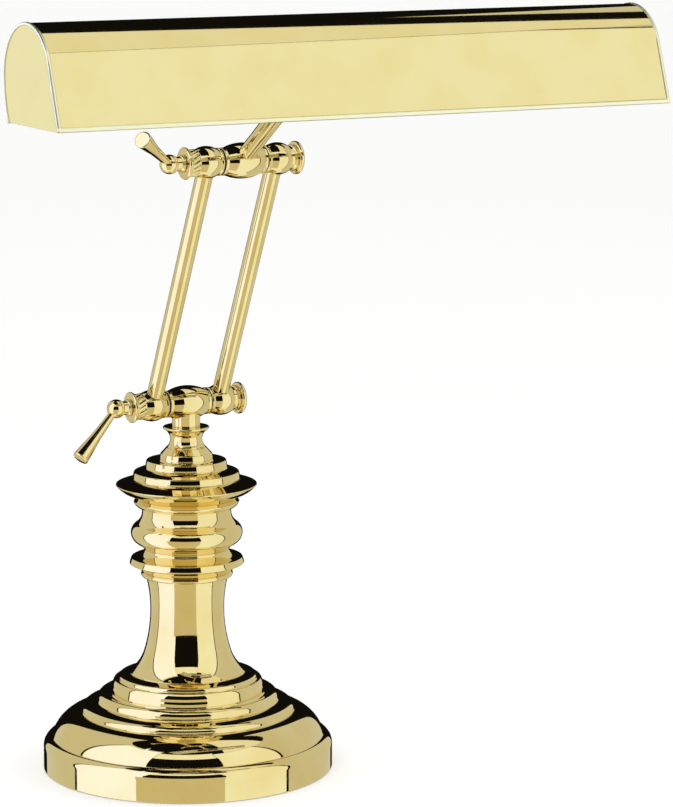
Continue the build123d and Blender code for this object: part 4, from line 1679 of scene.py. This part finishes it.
@dataclass
class Lighting:
    """What the shade holds: switch body, lamp holders, bulbs and the switch knob."""

    socket_wall: float = 2.5
    socket_back: float = 8.0
    socket_edge: float = 2.5
    socket_step: tuple[float, float] = (0.4, 0.6)
    bulb_neck: float = 7.0
    bulb_wall: float = 0.9
    bulb_tip: float = 11.0
    bulb_shoulder_bow: float = 0.6
    bulb_neck_in: float = 0.6
    contact_radius: float = 5.0
    contact_height: float = 1.2
    cap_cone: tuple[float, float] = (1.8, 4.0)
    cap_foot: float = 5.6
    cap_lip: float = 2.0
    cap_thread_start: float = 7.5
    cap_thread_pitch: float = 3.6
    cap_thread_depth: float = 0.7
    cap_thread_turns: int = 4
    knob_radius: float = 7.0
    knob_height: float = 4.6
    knob_shaft: float = 2.4
    knob_foot: tuple[float, float] = (1.6, 1.8)
    knob_foot_edge: tuple[float, float] = (0.5, 0.6)
    knob_top_edge: tuple[float, float] = (0.6, 0.5)
    knob_plain: tuple[float, float] = (1.2, 0.3)
    knob_flutes: int = 12
    knob_flute_depth: float = 0.4
    flats: int = 96

    def build(self, palette: Palette) -> None:
        """Build and dress the lighting.

        Args:
            palette: The shared finishes.
        """
        palette.dress("switch_body", palette.phenolic)
        palette.dress("shade_bracket", palette.steel)
        palette.dress("stem_locknut", palette.steel)
        palette.dress("stem_collar", palette.brass)
        for side in Side:
            self._holder(side, palette)
            self._bulb(side, palette)
        self._knob(palette)

    def _holder(self, side: Side, palette: Palette) -> None:
        """One lamp holder with a stepped skirt."""
        node = f"{side.word}_lamp_socket"
        reach = Reach.of(node)
        start, end = reach.inner, reach.outer
        radius = (reach.high.z - reach.low.z) / 2
        step_in, step_up = self.socket_step
        axis = Vector((0, reach.middle.y, reach.middle.z))
        bore = radius - self.socket_wall
        floor = start + self.socket_back
        piece = Piece(f"{node}_moulded")
        piece.turn([
            Stop(0, start),
            Stop(radius - self.socket_edge, start, ease=0.4),
            Stop(radius - step_in, start + self.socket_edge, ease=0.8),
            Stop(radius - step_in, floor, ease=0.2),
            Stop(radius, floor + step_up, ease=0.3),
            Stop(radius, end, ease=0.6),
            Stop(bore, end, ease=0.4),
            Stop(bore, floor),
            Stop(0, floor),
        ], along_x(axis, side), self.flats)
        piece.done(Body.HEAD, [palette.phenolic], [node])

    def _bulb(self, side: Side, palette: Palette) -> None:
        """One tubular bulb: its threaded cap and its frosted glass."""
        cap = Reach.of(f"{side.word}_bulb_base")
        glass = Reach.of(f"{side.word}_bulb_glass")
        axis = Vector((0, cap.middle.y, cap.middle.z))
        start, neck, tip = cap.inner, cap.outer, glass.outer
        cap_radius = (cap.high.z - cap.low.z) / 2
        radius = (glass.high.z - glass.low.z) / 2
        root, pitch = cap_radius - self.cap_thread_depth, self.cap_thread_pitch
        cone_in, cone_up = self.cap_cone
        threads = []
        for turn in range(self.cap_thread_turns):
            crest = start + self.cap_thread_start + pitch * turn
            threads += [Stop(cap_radius, crest, ease=0.8), Stop(root, crest + pitch / 2, ease=0.7)]
        piece = Piece(f"{side.word}_bulb_cap_rolled")
        piece.turn([
            Stop(0, start),
            Stop(self.contact_radius, start, ease=0.5),
            Stop(self.contact_radius, start + self.contact_height, ease=0.2),
            Stop(cap_radius - cone_in, start + cone_up, ease=0.4),
            Stop(root, start + self.cap_foot, ease=0.4),
            *threads,
            Stop(cap_radius, neck - self.cap_lip, ease=0.4),
            Stop(cap_radius, neck, ease=0.2),
            Stop(0, neck),
        ], along_x(axis, side), self.flats)
        piece.done(Body.HEAD, [palette.cap_metal], [f"{side.word}_bulb_base"])
        flank = tip - self.bulb_tip
        neck_radius = cap_radius - self.bulb_neck_in
        inner = radius - self.bulb_wall
        glass_piece = Piece(f"{side.word}_bulb_glass_blown")
        glass_piece.turn([
            Stop(neck_radius - self.bulb_wall, neck),
            Stop(neck_radius, neck),
            Stop(radius, neck + self.bulb_neck, bow=self.bulb_shoulder_bow, ease=2.0),
            Stop(radius, flank),
            Stop(0, tip, bow=cap_bow(radius, self.bulb_tip)),
            Stop(0, tip - self.bulb_wall),
            Stop(inner, flank, bow=-cap_bow(inner, self.bulb_tip - self.bulb_wall)),
            Stop(inner, neck + self.bulb_neck),
        ], along_x(axis, side), self.flats)
        glass_piece.done(Body.HEAD, [palette.glass], [f"{side.word}_bulb_glass"])

    def _knob(self, palette: Palette) -> None:
        """The fluted turn knob under the switch body."""
        reach = Reach.of("switch_knob")
        axis = reach.middle
        bottom, shaft_top = reach.low.z, reach.high.z
        top, radius = bottom + self.knob_height, self.knob_radius
        plain_in, plain_top = self.knob_plain
        foot_in, side_start = self.knob_foot
        foot_edge_in, foot_edge_up = self.knob_foot_edge
        top_edge_in, top_edge_down = self.knob_top_edge

        def fluted(at: float, height: float, angle: float) -> float:
            """The knob's radius after its flutes are cut."""
            if at < radius - plain_in or height > top - plain_top:
                return at
            return at - self.knob_flute_depth * (0.5 + 0.5 * math.cos(self.knob_flutes * angle))

        piece = Piece("switch_knob_moulded")
        piece.turn([
            Stop(0, bottom),
            Stop(radius - foot_in, bottom, ease=0.3),
            Stop(radius - foot_edge_in, bottom + foot_edge_up, ease=0.5),
            Stop(radius, bottom + side_start),
            Stop(radius, top - top_edge_down, ease=0.3),
            Stop(radius - top_edge_in, top, ease=0.2),
            Stop(self.knob_shaft, top),
            Stop(self.knob_shaft, shaft_top, ease=0.3),
            Stop(0, shaft_top),
        ], upright(axis.x, axis.y, 0), self.flats, shape=fluted)
        piece.done(Body.SWITCH, [palette.knob], ["switch_knob"])


@dataclass(frozen=True)
class Card:
    """A curved studio board round the lamp that only the polish mirrors.

    Attributes:
        name: The board's name.
        start: Its left end, in degrees round from the camera's side, positive to the right.
        end: Its right end.
        low: The height of its lower edge in millimetres.
        high: The height of its upper edge.
        glow: Its colour and brightness together.
        gap: How far in front of the boards behind it stands.
    """

    name: str
    start: float
    end: float
    low: float
    high: float
    glow: Colour
    gap: float = 0.0


@dataclass(frozen=True)
class Softbox:
    """A soft square light for the pieces that aren't polished.

    Attributes:
        name: The light's name.
        place: Its centre in millimetres.
        size: Its side in millimetres.
        power: Its power in watts.
    """

    name: str
    place: tuple[float, float, float]
    size: float
    power: float


@dataclass
class Studio:
    """The floor, the boards that the polish mirrors, the lights and the camera."""

    image_height: int = 807
    focal_pixels: float = 3520.95
    sensor: float = 36.0
    camera_place: tuple[float, float, float] = (-891.16, -1744.96, 543.38)
    camera_way: tuple[float, float, float] = (0.48601, 0.85770, -0.16777)
    camera_roll: float = 0.000832
    clip_end: float = 200.0
    floor_size: float = 60000.0
    floor_colour: Colour = (0.8, 0.8, 0.79)
    floor_light: float = 0.32
    floor_cloud: float = 0.99
    tent_radius: float = 1350.0
    tent_depth: float = -2300.0
    board_step: float = 4.0
    roof_height: float = 3100.0
    roof_size: float = 12000.0
    sheet_near: float = 600.0
    sheet_far: float = 2400.0
    sheet_front: float = -2600.0
    sheet_back: float = 1890.0
    sheet_drop: float = 10.0
    end_card_gap: float = 150.0
    end_card_half: tuple[float, float] = (42.0, 54.0)
    surround: float = 0.8
    aim: tuple[float, float, float] = (0.0, -60.0, 200.0)
    white: Colour = (1.12, 1.22, 1.6)
    bright: Colour = (0.99, 1.03, 0.95)
    cream: Colour = (0.66, 0.65, 0.54)
    pale: Colour = (0.9, 0.9, 0.76)
    tan: Colour = (0.66, 0.6, 0.4)
    black: Colour = (0.006, 0.0055, 0.005)
    softboxes: tuple[Softbox, ...] = (
        Softbox("key", (-1200.0, -1300.0, 1900.0), 1200.0, 12.0),
        Softbox("fill", (1500.0, -900.0, 1400.0), 1200.0, 5.0),
    )

    def build(self) -> None:
        """Set up the whole studio."""
        self._view()
        self._floor()
        self._world()
        for card in self._boards():
            self._stand(card)
        self._roof()
        self._end_card()
        self._lamps()

    def _view(self) -> None:
        """Place the camera at the photograph's viewpoint."""
        data = bpy.data.cameras.new("camera")
        data.sensor_width = self.sensor
        data.lens = self.focal_pixels * self.sensor / self.image_height
        data.clip_end = self.clip_end
        camera = bpy.data.objects.new("camera", data)
        bpy.context.scene.collection.objects.link(camera)
        way = Vector(self.camera_way).normalized()
        right = way.cross(Vector((0, 0, 1))).normalized()
        up = right.cross(way)
        turned_right = right * math.cos(self.camera_roll) + up * math.sin(self.camera_roll)
        turned_up = up * math.cos(self.camera_roll) - right * math.sin(self.camera_roll)
        frame_of_view = Matrix((turned_right, turned_up, -way)).transposed().to_4x4()
        camera.matrix_world = Matrix.Translation(Vector(self.camera_place) * MM) @ frame_of_view
        bpy.context.scene.camera = camera
        bpy.context.scene.view_settings.view_transform = "Standard"

    def _surface(
        self, name: str, rows: Sequence[Sequence[Vector]], material: bpy.types.Material
    ) -> bpy.types.Object:
        """An open surface of the stage, from rows of points in millimetres.

        Args:
            name: Its name.
            rows: Its points, row by row, each row as long.
            material: Its material.

        Returns:
            The new object.
        """
        width = len(rows[0])
        points = [tuple(point * MM) for row in rows for point in row]
        faces = []
        for row in range(len(rows) - 1):
            for column in range(width - 1):
                corner = row * width + column
                faces.append((corner, corner + 1, corner + width + 1, corner + width))
        data = bpy.data.meshes.new(name)
        data.from_pydata(points, [], faces)
        data.materials.append(material)
        made = bpy.data.objects.new(name, data)
        bpy.context.scene.collection.objects.link(made)
        return made

    def _mirrored(self, name: str, rows: Sequence[Sequence[Vector]], glow: Colour) -> None:
        """A glowing surface that only mirror and glass rays meet.

        Args:
            name: Its name.
            rows: Its points, row by row.
            glow: Its colour and brightness together.
        """
        shader = Shader.named(name)
        emission = shader.node("ShaderNodeEmission", inputs={"Color": glow, "Strength": 1.0})
        made = self._surface(name, rows, shader.output(emission))
        made.visible_camera = False
        made.visible_diffuse = False
        made.visible_shadow = False

    def _floor(self) -> None:
        """A wide pale floor that keeps the lamp's soft shadow."""
        shader = Shader.named("pale_floor")
        cloud = shader.noise(shader.place(), per_metre=3.0)
        darker = tuple(part * self.floor_cloud for part in self.floor_colour)
        material = shader.surface({
            "Base Color": shader.mix(cloud, self.floor_colour, darker),
            "Roughness": 0.8,
            "Specular IOR Level": 0.1,
            "Emission Color": (1.0, 1.0, 1.0),
            "Emission Strength": self.floor_light,
        })
        half = self.floor_size / 2
        rows = [[Vector((x * half, y * half, 0)) for x in (-1, 1)] for y in (-1, 1)]
        made = self._surface("floor", rows, material)
        made.visible_glossy = False

    def _world(self) -> None:
        """An even white surround, a little dimmer where it lights the lamp."""
        shader = Shader(bpy.data.worlds.new("surround"))
        diffuse = shader.node("ShaderNodeLightPath", output="Is Diffuse Ray")
        strength = diffuse * (self.surround - 1.0) + 1.0
        inputs = {"Color": (1.0, 1.0, 1.0), "Strength": strength}
        bpy.context.scene.world = shader.output(shader.node("ShaderNodeBackground", inputs=inputs))

    def _boards(self) -> list[Card]:
        """The boards round the lamp, from the camera's left to its right and on behind it."""
        depth = self.tent_depth
        return [
            Card("left_side_board", -150.0, -34.5, depth, 2700.0, self.cream, 40.0),
            Card("left_board_edge", -99.0, -34.5, depth, 2440.0, self.black, 60.0),
            Card("left_board", -96.5, -35.0, depth, 2400.0, self.white, 80.0),
            Card("front_foot", -40.5, 28.0, depth, 130.0, self.tan, 90.0),
            Card("front_slot", -35.0, 29.0, 130.0, 1120.0, self.black, 100.0),
            Card("front_head", -35.0, 29.0, 1120.0, 2080.0, self.bright, 50.0),
            Card("right_side_board", 27.5, 156.0, depth, 1800.0, self.cream, 40.0),
            Card("right_board_edge", 27.5, 84.5, depth, 1850.0, self.black, 60.0),
            Card("right_board", 28.0, 82.0, depth, 1800.0, self.bright, 80.0),
            Card("back_board", -180.0, 180.0, depth, 1850.0, self.black),
        ]

    def _round(self, card: Card) -> list[Vector]:
        """Level directions across a card, one every few degrees."""
        towards = math.atan2(self.camera_place[1], self.camera_place[0])
        steps = max(2, math.ceil((card.end - card.start) / self.board_step))
        made = []
        for step in range(steps + 1):
            angle = towards + math.radians(card.start + (card.end - card.start) * step / steps)
            made.append(Vector((math.cos(angle), math.sin(angle), 0)))
        return made

    def _stand(self, card: Card) -> None:
        """Stand one board up round the lamp."""
        radius = self.tent_radius - card.gap
        ways = self._round(card)
        heights = (card.low, card.high)
        rows = [[way * radius + Vector((0, 0, height)) for way in ways] for height in heights]
        self._mirrored(card.name, rows, card.glow)

    def _roof(self) -> None:
        """A black roof, and under it the pale sheet with a slanting back edge that the crown mirrors."""
        half, height = self.roof_size / 2, self.roof_height
        corners = [[Vector((x, y, height)) for x in (-half, half)] for y in (-half, half)]
        self._mirrored("black_roof", corners, self.black)
        below = height - self.sheet_drop
        rows = [
            [Vector((x, self.sheet_front, below)), Vector((x, self.sheet_back - x, below))]
            for x in (self.sheet_near, self.sheet_far)
        ]
        self._mirrored("roof_sheet", rows, self.pale)

    def _end_card(self) -> None:
        """A small white card that the shade's left end mirrors towards the camera."""
        plate = Reach.of("shade_left_end").middle
        way = (plate - Vector(self.camera_place)).normalized()
        way.x = -way.x
        centre = plate + way * self.end_card_gap
        across = way.cross(Vector((0, 0, 1))).normalized()
        up = across.cross(way)
        width, height = self.end_card_half
        rows = [[centre + across * x + up * y for x in (-width, width)] for y in (-height, height)]
        self._mirrored("end_card", rows, self.white)

    def _lamps(self) -> None:
        """Soft lights for the pieces that aren't polished."""
        for softbox in self.softboxes:
            data = bpy.data.lights.new(softbox.name, "AREA")
            data.size = softbox.size * MM
            data.energy = softbox.power
            light = bpy.data.objects.new(softbox.name, data)
            light.location = Vector(softbox.place) * MM
            aim = (Vector(self.aim) - Vector(softbox.place)).normalized()
            light.rotation_euler = aim.to_track_quat("-Z", "Y").to_euler()
            light.visible_glossy = False
            bpy.context.scene.collection.objects.link(light)


def main() -> None:
    """Build the lamp piece by piece and set up the studio."""
    logging.basicConfig(level=logging.INFO, format="%(name)s: %(message)s")
    palette = Palette()
    lower, upper = joint_place("arm_lift"), joint_place("shade_tilt")
    Base().build(palette)
    Column().build(palette)
    Knuckle("lower", lower, Body.LOWER_LEVER, lever_angle=255.0, yoke_body=Body.BASE).build(palette)
    Knuckle("upper", upper, Body.UPPER_LEVER, lever_angle=141.3, yoke_body=Body.HEAD).build(palette)
    Arm().build(palette, lower, upper)
    Shade().build(palette)
    Lighting().build(palette)
    Studio().build()


if __name__ == "__main__":
    main()
